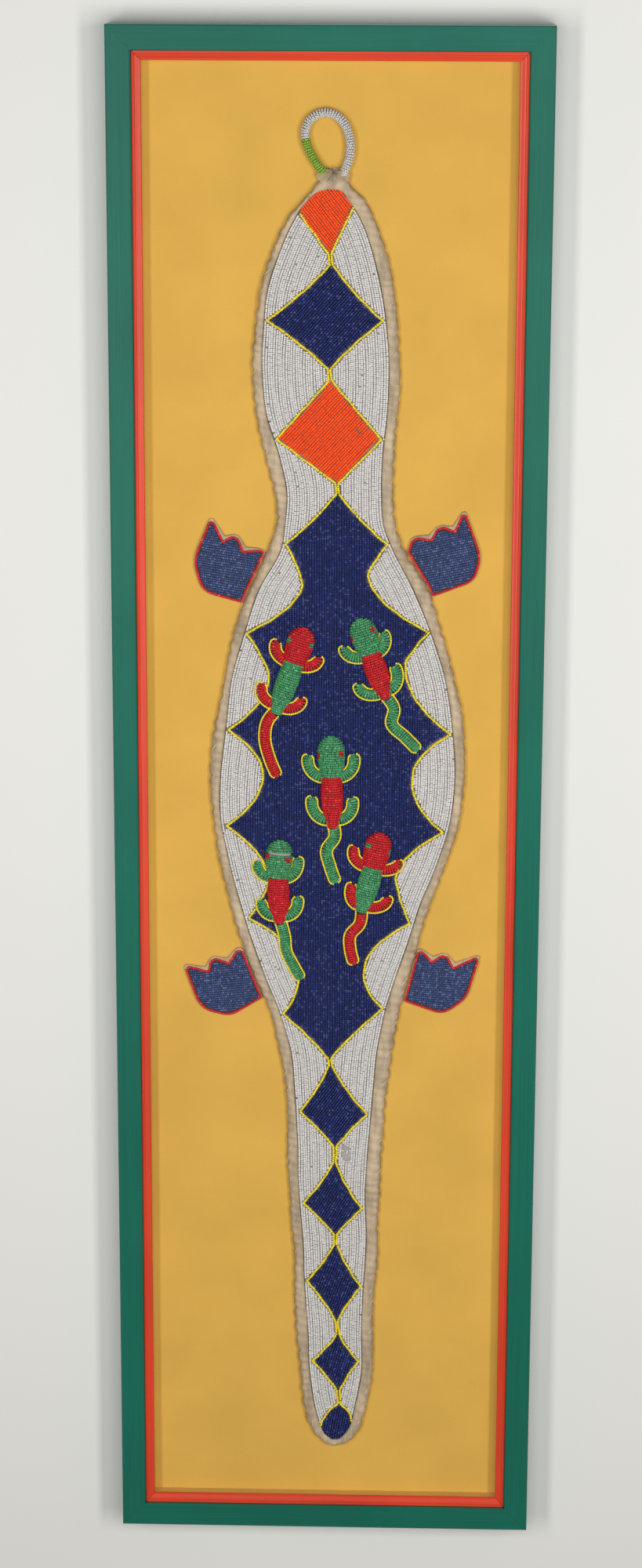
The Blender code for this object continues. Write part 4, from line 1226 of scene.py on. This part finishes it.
def rounded_outline(corners, steps=6):
    """Points of a closed outline whose corners are rounded: each corner is an arc between its two sides."""
    points = []
    for k, corner in enumerate(corners):
        here = np.array([corner.x, corner.z])
        before, after = corners[k - 1], corners[(k + 1) % len(corners)]
        back = np.array([before.x, before.z]) - here
        ahead = np.array([after.x, after.z]) - here
        if corner.radius <= 0.0:
            points.append(here)
            continue
        back_length, ahead_length = np.linalg.norm(back), np.linalg.norm(ahead)
        back, ahead = back / back_length, ahead / ahead_length
        half_angle = math.acos(float(np.clip(back @ ahead, -1.0, 1.0))) / 2
        reach = min(corner.radius / math.tan(half_angle), 0.46 * back_length, 0.46 * ahead_length)
        for t in np.linspace(0.0, 1.0, steps):
            points.append(here + back * reach * (1 - t)**2 + ahead * reach * t**2)
    return np.array(points)


def inset_corners(corners, distance, valley, toe_cut):
    """The same corners moved in by a distance, the valleys further, with sharp toes cut blunt."""
    places = np.array([[c.x, c.z] for c in corners])
    ahead = unit(np.roll(places, -1, axis=0) - places)
    area = 0.5 * np.sum(places[:, 0] * np.roll(places[:, 1], -1) - np.roll(places[:, 0], -1) * places[:, 1])
    inward = np.stack([-ahead[:, 1], ahead[:, 0]], axis=1) * math.copysign(1.0, area)
    moved = []
    for k, corner in enumerate(corners):
        before, after = inward[k - 1], inward[k]
        both = unit(before + after)
        outside = (ahead[k - 1, 0] * ahead[k, 1] - ahead[k - 1, 1] * ahead[k, 0]) * area > 0
        step = distance / max(float(both @ after), 0.55) + (0.0 if outside or corner.radius == 0 else valley)
        radius = max(1.2 * corner.radius, 4.5) if outside else 1.5
        tip = places[k] + both * step
        if outside and corner.radius > 0 and float(ahead[k - 1] @ ahead[k]) < 0.35:
            moved += [Corner(*(tip - toe_cut * ahead[k - 1]), 4.0), Corner(*(tip + toe_cut * ahead[k]), 4.0)]
        else:
            moved.append(Corner(*tip, radius if corner.radius > 0 else 0.0))
    return moved


def foot_corners(foot):
    """All corners of a foot: its inner side along the binding, then its toes and heel."""
    heights = np.linspace(foot.low, foot.high, 5)
    left, right = edges(BINDING, heights)
    edge = left if foot.side < 0 else right
    beside = [Corner(x + foot.side * FOOT_CLEARANCE, z, 0.0) for x, z in zip(edge, heights)]
    return [*beside, *foot.corners]


def inside_outline(outline, across, up):
    """True for places inside a closed outline, by counting its crossings to the right of each."""
    x1, z1 = outline[:, 0], outline[:, 1]
    x2, z2 = np.roll(x1, -1), np.roll(z1, -1)
    spans = (z1[None] > up[:, None]) != (z2[None] > up[:, None])
    with np.errstate(divide="ignore", invalid="ignore"):
        cross = (x2 - x1)[None] * (up[:, None] - z1[None]) / (z2 - z1)[None] + x1[None]
    return (spans & (across[:, None] < cross)).sum(axis=1) % 2 == 1


def foot_cloth(foot, finish):
    """A foot's flat cloth with its turned edge, made from a filled curve a little larger than the foot."""
    outline = rounded_outline(inset_corners(foot_corners(foot), 0.0, -2.2, TOE_CUT - 0.6))
    curve = bpy.data.curves.new(foot.name + "_cloth", "CURVE")
    curve.dimensions = "2D"
    curve.fill_mode = "BOTH"
    curve.extrude = (FOOT_CLOTH / 2 - FOOT_EDGE) * MM
    curve.bevel_depth = FOOT_EDGE * MM
    curve.bevel_resolution = 3
    curve.offset = -FOOT_EDGE * MM
    spline = curve.splines.new("POLY")
    spline.points.add(len(outline) - 1)
    spline.points.foreach_set("co", np.insert(outline * MM, 2, [[0.0], [1.0]], axis=1).ravel())
    spline.use_cyclic_u = True
    holder = bpy.data.objects.new("outline", curve)
    bpy.context.scene.collection.objects.link(holder)
    graph = bpy.context.evaluated_depsgraph_get()
    mesh = bpy.data.meshes.new_from_object(holder.evaluated_get(graph))
    bpy.data.objects.remove(holder)
    turn = Matrix.Rotation(math.radians(90.0), 4, "X")
    shift = Matrix.Translation((0.0, BOARD_FACE_Y - (SEW_GAP + FOOT_CLOTH / 2) * MM, FRAME_CENTRE_Z))
    mesh.transform(shift @ turn)
    mesh.materials.clear()
    mesh.materials.append(finish)
    mesh.shade_smooth()
    cloth = bpy.data.objects.new(foot.name + "_cloth", mesh)
    set_shade(cloth, np.full(len(mesh.vertices), 0.98))
    bpy.context.scene.collection.objects.link(cloth)
    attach(cloth, "root")
    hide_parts(foot.name)


def foot_shade_sheet(foot, finish):
    """A dark sheet of painted shade under a foot's beads, one flat face just above its cloth."""
    line = rounded_outline(inset_corners(foot_corners(foot), FOOT_MARGIN + 0.7, 1.2, TOE_CUT))
    flat = np.concatenate([line, np.full((len(line), 1), SEW_GAP + FOOT_CLOTH + 0.04)], axis=1)
    shade_sheet = finish_mesh(foot.name + "_lining", in_frame(flat), [range(len(flat))], [finish], smooth=False)
    set_shade(shade_sheet, np.ones(len(flat)))


def foot_beads(foot, finishes, pitch):
    """A foot's beads: a red line just inside its edge, and navy rows at its own lean."""
    rng = np.random.default_rng(sum(map(ord, foot.name)))
    line = rounded_outline(inset_corners(foot_corners(foot), FOOT_MARGIN, 1.2, TOE_CUT))
    line = np.concatenate([line, line[:1]])
    run = run_of(line)
    line = at_run(line, run, np.arange(0.0, run[-1], 0.4))

    def flat_beads(across, up, heading, finish, size):
        count = len(across)
        heading = heading + rng.normal(0.0, 0.03, count)
        along = np.stack([np.cos(heading), np.sin(heading), np.zeros(count)], axis=1)
        out = unit(OUTWARD + rng.normal(0.0, 0.05, (count, 3)))
        level = SEW_GAP + FOOT_CLOTH + 0.18 + 0.3 * (finish == "red")
        place = np.stack([across, up, np.full(count, level)], axis=1)
        return Beads(place, square_to(along, out), out, pitch.length * rng.normal(0.94, 0.05, count),
                     size * rng.normal(0.98, 0.02, count), np.full(count, finish))

    run = run_of(line)
    at = np.arange(0.5, run[-1], pitch.length * 1.03)
    across, up = at_run(line, run, at).T
    ahead = at_run(line, run, at + 0.7) - at_run(line, run, at - 0.7)
    red = flat_beads(across, up, np.arctan2(ahead[:, 1], ahead[:, 0]), "red", RED_BEAD_WIDTH)
    lean = math.radians(foot.lean)
    rows = np.arange(-FOOT_REACH, FOOT_REACH, FOOT_ROW)
    steps = np.arange(-FOOT_REACH, FOOT_REACH, pitch.length)
    along = steps[None] + rng.uniform(0.0, pitch.length, (len(rows), 1))
    along = along + rng.normal(0.0, 0.07, (len(rows), len(steps)))
    offset = rows[:, None] + 0.25 * np.sin(along / 14.0 + 0.1 * rows[:, None])
    across, up = leaning_rows(line.mean(axis=0), lean, along, offset)
    keep = inside_outline(line, across, up)
    across, up = across[keep], up[keep]
    keep = near_line([line], across, up) > LINE_CLEAR
    navy = flat_beads(across[keep], up[keep], np.full(keep.sum(), lean), "foot_navy", FOOT_ROW)
    used = {name: finishes[name] for name in ("foot_navy", "red")}
    bead_piece(f"{foot.name}_beads", join_beads(red, navy), used)


# Materials


def add_node(tree, kind, inputs=(), **settings):
    """Add a node, set its properties, and set or link each of its inputs."""
    made = tree.nodes.new(kind)
    for key, value in settings.items():
        setattr(made, key, value)
    for key, value in dict(inputs).items():
        if isinstance(value, bpy.types.NodeSocket):
            tree.links.new(value, made.inputs[key])
        else:
            made.inputs[key].default_value = value
    return made


def new_material(name, inputs):
    """A material with a Principled shader. Returns the material, its tree and its shader."""
    made = bpy.data.materials.new(name)
    made.use_nodes = True
    shader = made.node_tree.nodes["Principled BSDF"]
    for key, value in inputs.items():
        shader.inputs[key].default_value = value
    return made, made.node_tree, shader


def rgba(colour):
    """Colour with a full alpha."""
    return (*colour[:3], 1.0)


def scaled(colour, factor):
    """Colour made lighter or darker, and kept below white."""
    return tuple(min(c * factor, 1.0) for c in colour[:3])


def bead_material(name, colour, roughness, spread, pale_share):
    """Opaque seed glass, drawn and fire-polished: even colour, sharp highlights, each bead a bit apart, and a
    share of beads painted paler as glints.
    """
    made, tree, shader = new_material(name, {"Roughness": roughness, "IOR": 1.52})
    tone = add_node(tree, "ShaderNodeAttribute", attribute_name="tone").outputs["Fac"]
    # Data type RGBA puts its colours on sockets 6 and 7 and its result on output 2
    result = add_node(tree, "ShaderNodeMix", {
        "Factor": tone, 6: rgba(scaled(colour, 1 - spread)), 7: rgba(scaled(colour, 1 + spread)),
    }, data_type="RGBA").outputs[2]
    # Painted glints: the beads with the highest tone are drawn paler
    if pale_share > 0:
        glint_mask = add_node(tree, "ShaderNodeMath", {0: tone, 1: 1.0 - pale_share}, operation="GREATER_THAN")
        light = rgba(tuple(min(1.0, 1.45 * c + 0.035) for c in colour[:3]))
        result = add_node(tree, "ShaderNodeMix", {"Factor": glint_mask.outputs[0], 6: result, 7: light},
                          data_type="RGBA").outputs[2]
    tree.links.new(result, shader.inputs["Base Color"])
    return made


def mottled(name, colour, amount, scale, roughness, bump_mm=0.0, bump_scale=900.0, sheen=0.0,
            shaded=False, along_z=1.0):
    """A base colour with soft blotches and a fine bump, and when shaded, the painted shade and light of each
    point multiplied in.
    """
    made, tree, shader = new_material(name, {"Roughness": roughness, "IOR": 1.45, "Sheen Weight": sheen})
    place = add_node(tree, "ShaderNodeTexCoord").outputs["Object"]
    if along_z != 1.0:
        stretch = (1.0, 1.0, along_z)
        place = add_node(tree, "ShaderNodeMapping", {"Vector": place, "Scale": stretch}).outputs[0]
    blotch = add_node(tree, "ShaderNodeTexNoise", {"Vector": place, "Scale": scale, "Detail": 5.0})
    ramp = add_node(tree, "ShaderNodeMapRange",
                    {"Value": blotch.outputs["Fac"], "From Min": 0.3, "From Max": 0.7})
    result = add_node(tree, "ShaderNodeMix", {
        "Factor": ramp.outputs[0], 6: rgba(scaled(colour, 1 - amount)), 7: rgba(scaled(colour, 1 + amount)),
    }, data_type="RGBA").outputs[2]
    # The shade attribute multiplies painted shade and painted light into the colour
    if shaded:
        shade = add_node(tree, "ShaderNodeAttribute", attribute_name="shade").outputs["Fac"]
        lit = add_node(tree, "ShaderNodeVectorMath", {0: result, "Scale": shade}, operation="SCALE")
        result = lit.outputs[0]
    tree.links.new(result, shader.inputs["Base Color"])
    if bump_mm > 0:
        grain = add_node(tree, "ShaderNodeTexNoise", {"Vector": place, "Scale": bump_scale, "Detail": 4.0})
        bump = add_node(tree, "ShaderNodeBump", {"Height": grain.outputs["Fac"], "Distance": bump_mm * MM,
                                                 "Strength": 1.0})
        tree.links.new(bump.outputs["Normal"], shader.inputs["Normal"])
    return made, tree, shader


def painted_wood(name, colour, along_z):
    """Brushed satin paint on planed pine: long faint streaks along the rail, and broad soft blotches."""
    made, tree, shader = new_material(name, {"Roughness": 0.34, "IOR": 1.5})
    place = add_node(tree, "ShaderNodeTexCoord").outputs["Object"]
    stretch = (900.0, 400.0, 7.0) if along_z else (7.0, 400.0, 900.0)
    mapped = add_node(tree, "ShaderNodeMapping", {"Vector": place, "Scale": stretch})
    streaks = add_node(tree, "ShaderNodeTexNoise", {"Vector": mapped.outputs[0], "Scale": 1.0, "Detail": 4.0})
    broad = add_node(tree, "ShaderNodeTexNoise", {"Vector": place, "Scale": 9.0, "Detail": 3.0})
    both = add_node(tree, "ShaderNodeMath", {0: streaks.outputs["Fac"], 1: broad.outputs["Fac"]},
                    operation="ADD")
    ramp = add_node(tree, "ShaderNodeMapRange", {"Value": both.outputs[0], "From Min": 0.7, "From Max": 1.3})
    mix = add_node(tree, "ShaderNodeMix", {
        "Factor": ramp.outputs[0], 6: rgba(scaled(colour, 0.88)), 7: rgba(scaled(colour, 1.12)),
    }, data_type="RGBA")
    tree.links.new(mix.outputs[2], shader.inputs["Base Color"])
    bump = add_node(tree, "ShaderNodeBump",
                    {"Height": streaks.outputs["Fac"], "Distance": 0.12 * MM, "Strength": 0.7})
    tree.links.new(bump.outputs["Normal"], shader.inputs["Normal"])
    return made


def woven_cotton(name, colour):
    """Plain woven cotton glued to the board: threads 0.8 mm apart both ways, drawn twice as coarse."""
    made, tree, shader = mottled(name, colour, 0.05, 17.0, 0.9, sheen=0.1)
    place = add_node(tree, "ShaderNodeTexCoord").outputs["Object"]
    waves = []
    for axis in ("X", "Z"):
        wave = add_node(tree, "ShaderNodeTexWave", {"Vector": place, "Scale": 200.0, "Distortion": 1.5,
                                                    "Detail": 1.0, "Detail Scale": 2.0},
                        wave_type="BANDS", bands_direction=axis)
        waves.append(wave.outputs["Fac"])
    weave = add_node(tree, "ShaderNodeMath", {0: waves[0], 1: waves[1]}, operation="MAXIMUM")
    bump = add_node(tree, "ShaderNodeBump",
                    {"Height": weave.outputs[0], "Distance": 0.1 * MM, "Strength": 0.35})
    tree.links.new(bump.outputs["Normal"], shader.inputs["Normal"])
    return made


# Seed glass: its name, its roughness, how far its beads differ, and the share of beads painted paler as
# glints
BEAD_GLASS = (
    Glass("white", "white_seed_glass", 0.36, 0.07, 0.0),
    Glass("navy", "navy_seed_glass", 0.28, 0.42, 0.10),
    Glass("foot_navy", "pale_navy_seed_glass", 0.24, 0.34, 0.13),
    Glass("orange", "orange_seed_glass", 0.34, 0.16, 0.0),
    Glass("yellow", "yellow_seed_glass", 0.34, 0.12, 0.0),
    Glass("red", "red_seed_glass", 0.34, 0.20, 0.02),
    Glass("green", "green_seed_glass", 0.34, 0.26, 0.05),
    Glass("lime", "lime_seed_glass", 0.34, 0.12, 0.0),
)

# Materials by short name, filled by make_finishes
FINISHES = {}


def make_finishes(colours):
    """All materials of the beadwork, by short name."""
    for glass in BEAD_GLASS:
        FINISHES[glass.key] = bead_material(glass.name, getattr(colours, glass.key), glass.roughness,
                                            glass.spread, glass.pale_share)
    FINISHES["hide"] = mottled("soft_tanned_hide", colours.hide, 0.28, 150.0, 0.6, bump_mm=0.4,
                               bump_scale=620.0, sheen=0.1, shaded=True, along_z=0.22)[0]
    FINISHES["ground"] = mottled("sewn_ground_cloth", colours.ground, 0.15, 80.0, 0.9, bump_mm=0.1,
                                 shaded=True)[0]
    FINISHES["thread"] = mottled("cotton_thread", colours.thread, 0.08, 300.0, 0.8)[0]


# Add-on


def colour_setting(key, words):
    """A colour that a user may change, with its default from the table of hex colours."""
    return bpy.props.FloatVectorProperty(name=words, description=f"Colour of the {words.lower()}", size=3,
                                         subtype="COLOR", min=0.0, max=1.0, default=linear(COLOURS[key]))


class BeadSizes(bpy.types.PropertyGroup):
    """Sizes of the beads and stitches."""
    row: bpy.props.FloatProperty(
        name="Row pitch", description="Distance between rows of beads, in millimetres",
        default=2.12, min=1.5, max=4.0)
    length: bpy.props.FloatProperty(
        name="Bead pitch", description="Distance along the thread, in millimetres",
        default=1.72, min=1.2, max=4.0)
    stitch_gap: bpy.props.FloatProperty(
        name="Stitch gap", description="Distance between whip stitches, in millimetres",
        default=14.0, min=5.0, max=40.0)


class BeadColours(bpy.types.PropertyGroup):
    """Colours of the beads, the hide and the paint."""
    white: colour_setting("white", "White beads")
    navy: colour_setting("navy", "Navy beads")
    foot_navy: colour_setting("foot_navy", "Navy beads of the feet")
    orange: colour_setting("orange", "Orange beads")
    yellow: colour_setting("yellow", "Yellow beads")
    red: colour_setting("red", "Red beads")
    green: colour_setting("green", "Green beads")
    lime: colour_setting("lime", "Lime beads")
    hide: colour_setting("hide", "Hide")
    thread: colour_setting("thread", "Thread")
    ground: colour_setting("ground", "Ground cloth")
    cloth: colour_setting("cloth", "Board cloth")
    green_paint: colour_setting("green_paint", "Rail paint")
    red_paint: colour_setting("red_paint", "Slip paint")
    wall: colour_setting("wall", "Wall")


class HANGING_OT_finishes(bpy.types.Operator):
    """Make the bead, hide and thread materials"""
    bl_idname = "hanging.finishes"
    bl_label = "Materials"

    def execute(self, context):
        make_finishes(context.scene.bead_colours)
        return {"FINISHED"}


def mitre_paint(finish):
    """The paint that fills the joints between the rails, just under their front faces."""
    points = []
    for side, end in ((-1, 1), (1, 1), (1, -1), (-1, -1)):
        outer = np.array([side * (FRAME_HALF_WIDTH - MITRE_MARGIN), end * (FRAME_HALF_HEIGHT - MITRE_MARGIN)])
        inner = outer - np.array([side, end]) * MITRE_RUN
        aside = np.array([end, -side]) * MITRE_HALF_WIDTH
        corners = (outer + aside, outer - aside, inner - aside, inner + aside)
        points += [(*place, MITRE_LEVEL) for place in corners]
    faces = np.arange(16).reshape(4, 4)
    piece = finish_mesh("mitre_paint", in_frame(np.array(points)), faces, [finish], smooth=False)


def give_finish(name, finish):
    """Give a solid its finish in place of its plain one."""
    slots = NODES[name].data.materials
    slots.clear()
    slots.append(finish)


class HANGING_OT_frame(bpy.types.Operator):
    """Paint the rails and slips and cover the board and the side walls with cloth"""
    bl_idname = "hanging.frame"
    bl_label = "Frame"

    def execute(self, context):
        colours = context.scene.bead_colours
        cloth = woven_cotton("yellow_woven_cotton", colours.cloth)
        for prefix, colour, words in (("frame_rail", colours.green_paint, "green_brushed_paint"),
                                      ("slip", colours.red_paint, "red_brushed_paint")):
            upright = painted_wood(words + "_upright", colour, True)
            level = painted_wood(words + "_level", colour, False)
            for side in SIDES:
                give_finish(f"{prefix}_{side}", upright if side in ("left", "right") else level)
            if prefix == "frame_rail":
                mitre_paint(level)
        for name in ("backing_board", *(f"side_wall_{side}" for side in SIDES)):
            give_finish(name, cloth)
        return {"FINISHED"}


class HANGING_OT_field(bpy.types.Operator):
    """Lay the stuffed cloth, the white rows, the motifs and their yellow lines"""
    bl_idname = "hanging.field"
    bl_label = "Beaded field"

    def execute(self, context):
        pitch = context.scene.bead_sizes
        lines = [border_line(-1), border_line(1)]
        field_cloth(FINISHES["ground"], lines)
        rng = np.random.default_rng(8)
        for side, word in ((-1, "left"), (1, "right")):
            for half, beads in halves(white_beads(side, lines, rng, pitch)):
                bead_piece(f"white_rows_{word}_{half}", beads, {"white": FINISHES["white"]})
        groups = {"navy": [], "orange": [], "body": []}
        for motif in MOTIFS:
            group = "body" if motif.name == "body" else motif.finish
            groups[group].append(motif_beads(motif, lines, rng, pitch))
        for half, beads in halves(groups.pop("body")[0]):
            bead_piece(f"navy_body_{half}", beads, {"navy": FINISHES["navy"]})
        for colour, parts in groups.items():
            bead_piece(f"{colour}_motifs", join_beads(*parts), {colour: FINISHES[colour]})
        yellow = join_beads(*[line_beads(line, rng, "yellow", pitch) for line in lines])
        bead_piece("yellow_lines", yellow, {"yellow": FINISHES["yellow"]})
        return {"FINISHED"}


class HANGING_OT_lizards(bpy.types.Operator):
    """Stuff and bead the five lizards"""
    bl_idname = "hanging.lizards"
    bl_label = "Lizards"

    def execute(self, context):
        for lizard in LIZARDS:
            lizard_beads(lizard, FINISHES, context.scene.bead_sizes)
            lizard_cloth(lizard, FINISHES["ground"])
        return {"FINISHED"}


class HANGING_OT_edge(bpy.types.Operator):
    """Turn the hide over the field's edge and sew it down"""
    bl_idname = "hanging.edge"
    bl_label = "Hide edge"

    def execute(self, context):
        stitch_gap = context.scene.bead_sizes.stitch_gap
        hide_edge(FINISHES["hide"], stitch_gap)
        whip_stitches(FINISHES["thread"], stitch_gap)
        gathered_hide(FINISHES["hide"])
        gathered_fibres(FINISHES["thread"])
        return {"FINISHED"}


class HANGING_OT_feet(bpy.types.Operator):
    """Cut and bead the four flat feet"""
    bl_idname = "hanging.feet"
    bl_label = "Feet"

    def execute(self, context):
        for foot in FEET:
            foot_cloth(foot, FINISHES["hide"])
            foot_shade_sheet(foot, FINISHES["ground"])
            foot_beads(foot, FINISHES, context.scene.bead_sizes)
        return {"FINISHED"}


class HANGING_OT_loop(bpy.types.Operator):
    """Wind the beads round the hanging loop"""
    bl_idname = "hanging.loop"
    bl_label = "Hanging loop"

    def execute(self, context):
        loop_beads(FINISHES, context.scene.bead_sizes)
        loop_core(FINISHES["ground"])
        return {"FINISHED"}


# Soft lamps of the stage, in metres and watts, and whether glossy faces reflect them
LAMPS = (
    Lamp("left_lamp", (-1.3, -2.3, -0.42), (0.0, 0.0, -0.5), (0.4, 1.7), 24.0, (1.0, 0.985, 0.96), True),
    Lamp("right_lamp", (1.4, -2.3, -0.42), (0.0, 0.0, -0.5), (0.4, 1.7), 28.0, (1.0, 0.985, 0.96), True),
    Lamp("front_glow", (0.15, -1.9, -0.36), (0.15, 0.0, -0.36), (1.2, 0.9), 18.3, (1.0, 1.0, 1.0), False),
    Lamp("back_lamp", (0.4, 2.0, 0.2), (0.0, 0.0, -0.6), (1.5, 1.5), 20.0, (1.0, 1.0, 1.0), True),
)


def put_up(thing, side, up, back, place):
    """Put a lamp or the camera at a place, with its three directions."""
    matrix = Matrix.Identity(4)
    for k in range(3):
        matrix[k] = (side[k], up[k], back[k], place[k])
    thing.matrix_world = matrix
    bpy.context.scene.collection.objects.link(thing)


def area_light(lamp):
    """A soft rectangular lamp, turned to its target. The camera doesn't see it, and glossy faces may."""
    light = bpy.data.lights.new(lamp.name, "AREA")
    light.shape = "RECTANGLE"
    light.size, light.size_y = lamp.size
    light.energy = lamp.power
    light.color = lamp.colour
    thing = bpy.data.objects.new(lamp.name, light)
    thing.visible_camera = False
    thing.visible_glossy = lamp.reflected
    back = -unit(np.array(lamp.target) - np.array(lamp.place))
    side = unit(np.cross(OUTWARD, back))
    put_up(thing, side, np.cross(back, side), back, lamp.place)


def back_wall(colour):
    """The matt wall behind the frame. It shows only from the room, so that the frame's back can be seen."""
    finish, tree, shader = mottled("matt_wall_paint", colour, 0.01, 3.0, 0.9)
    behind = add_node(tree, "ShaderNodeNewGeometry").outputs["Backfacing"]
    clear = add_node(tree, "ShaderNodeBsdfTransparent")
    either = add_node(tree, "ShaderNodeMixShader", {0: behind, 1: shader.outputs[0], 2: clear.outputs[0]})
    tree.links.new(either.outputs[0], tree.nodes["Material Output"].inputs["Surface"])
    corners = [(x * WALL_HALF, WALL_GAP, z * WALL_HALF) for x, z in ((-1, -1), (1, -1), (1, 1), (-1, 1))]
    mesh = bpy.data.meshes.new("wall")
    mesh.from_pydata(corners, [], [(0, 1, 2, 3)])
    mesh.materials.append(finish)
    wall = bpy.data.objects.new("wall", mesh)
    wall.visible_shadow = False
    bpy.context.scene.collection.objects.link(wall)


def front_camera(scene):
    """The camera, where the photograph was taken from."""
    camera = bpy.data.cameras.new("camera")
    camera.lens = CAMERA_LENS
    camera.sensor_width = SENSOR_WIDTH
    camera.sensor_fit = "AUTO"
    camera.clip_end = 50.0
    seen = bpy.data.objects.new("camera", camera)
    turn = Matrix.Rotation(CAMERA_SWING, 3, "Z") @ Matrix.Rotation(CAMERA_ROLL, 3, "Y")
    turn = turn @ Matrix.Rotation(CAMERA_TILT, 3, "X")
    put_up(seen, turn.col[0], turn.col[2], -turn.col[1], CAMERA_PLACE)
    scene.camera = seen


class HANGING_OT_stage(bpy.types.Operator):
    """Put up the pale wall, the camera and the soft lamps"""
    bl_idname = "hanging.stage"
    bl_label = "Wall, camera and light"

    def execute(self, context):
        scene = context.scene
        back_wall(scene.bead_colours.wall)
        front_camera(scene)
        for lamp in LAMPS:
            area_light(lamp)
        world = bpy.data.worlds.new("room")
        world.use_nodes = True
        sky = world.node_tree.nodes["Background"]
        sky.inputs["Color"].default_value = (1.0, 0.99, 0.97, 1.0)
        sky.inputs["Strength"].default_value = 0.12
        scene.world = world
        scene.view_settings.view_transform = "Standard"
        scene.view_settings.look = "None"
        return {"FINISHED"}


class HANGING_PT_panel(bpy.types.Panel):
    """Lists the steps of the hanging in the 3D view's sidebar."""
    bl_idname = "HANGING_PT_panel"
    bl_label = "Beaded wall hanging"
    bl_space_type = "VIEW_3D"
    bl_region_type = "UI"
    bl_category = "Beadwork"

    def draw(self, context):
        for group in (context.scene.bead_sizes, context.scene.bead_colours):
            for key in type(group).__annotations__:
                self.layout.prop(group, key)
        for step in STEPS:
            self.layout.operator(step.bl_idname)


STEPS = (HANGING_OT_stage, HANGING_OT_finishes, HANGING_OT_frame, HANGING_OT_field, HANGING_OT_lizards,
         HANGING_OT_edge, HANGING_OT_feet, HANGING_OT_loop)
CLASSES = (BeadSizes, BeadColours, *STEPS, HANGING_PT_panel)


def register():
    """Add the panel, the steps and their settings to Blender."""
    for kind in CLASSES:
        bpy.utils.register_class(kind)
    bpy.types.Scene.bead_sizes = bpy.props.PointerProperty(type=BeadSizes)
    bpy.types.Scene.bead_colours = bpy.props.PointerProperty(type=BeadColours)


def unregister():
    """Take the settings, the steps and the panel away again."""
    del bpy.types.Scene.bead_sizes
    del bpy.types.Scene.bead_colours
    for kind in reversed(CLASSES):
        bpy.utils.unregister_class(kind)


def main():
    """Register the add-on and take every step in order."""
    register()
    for step in STEPS:
        group, name = step.bl_idname.split(".")
        getattr(getattr(bpy.ops, group), name)()


if __name__ == "__main__":
    main()
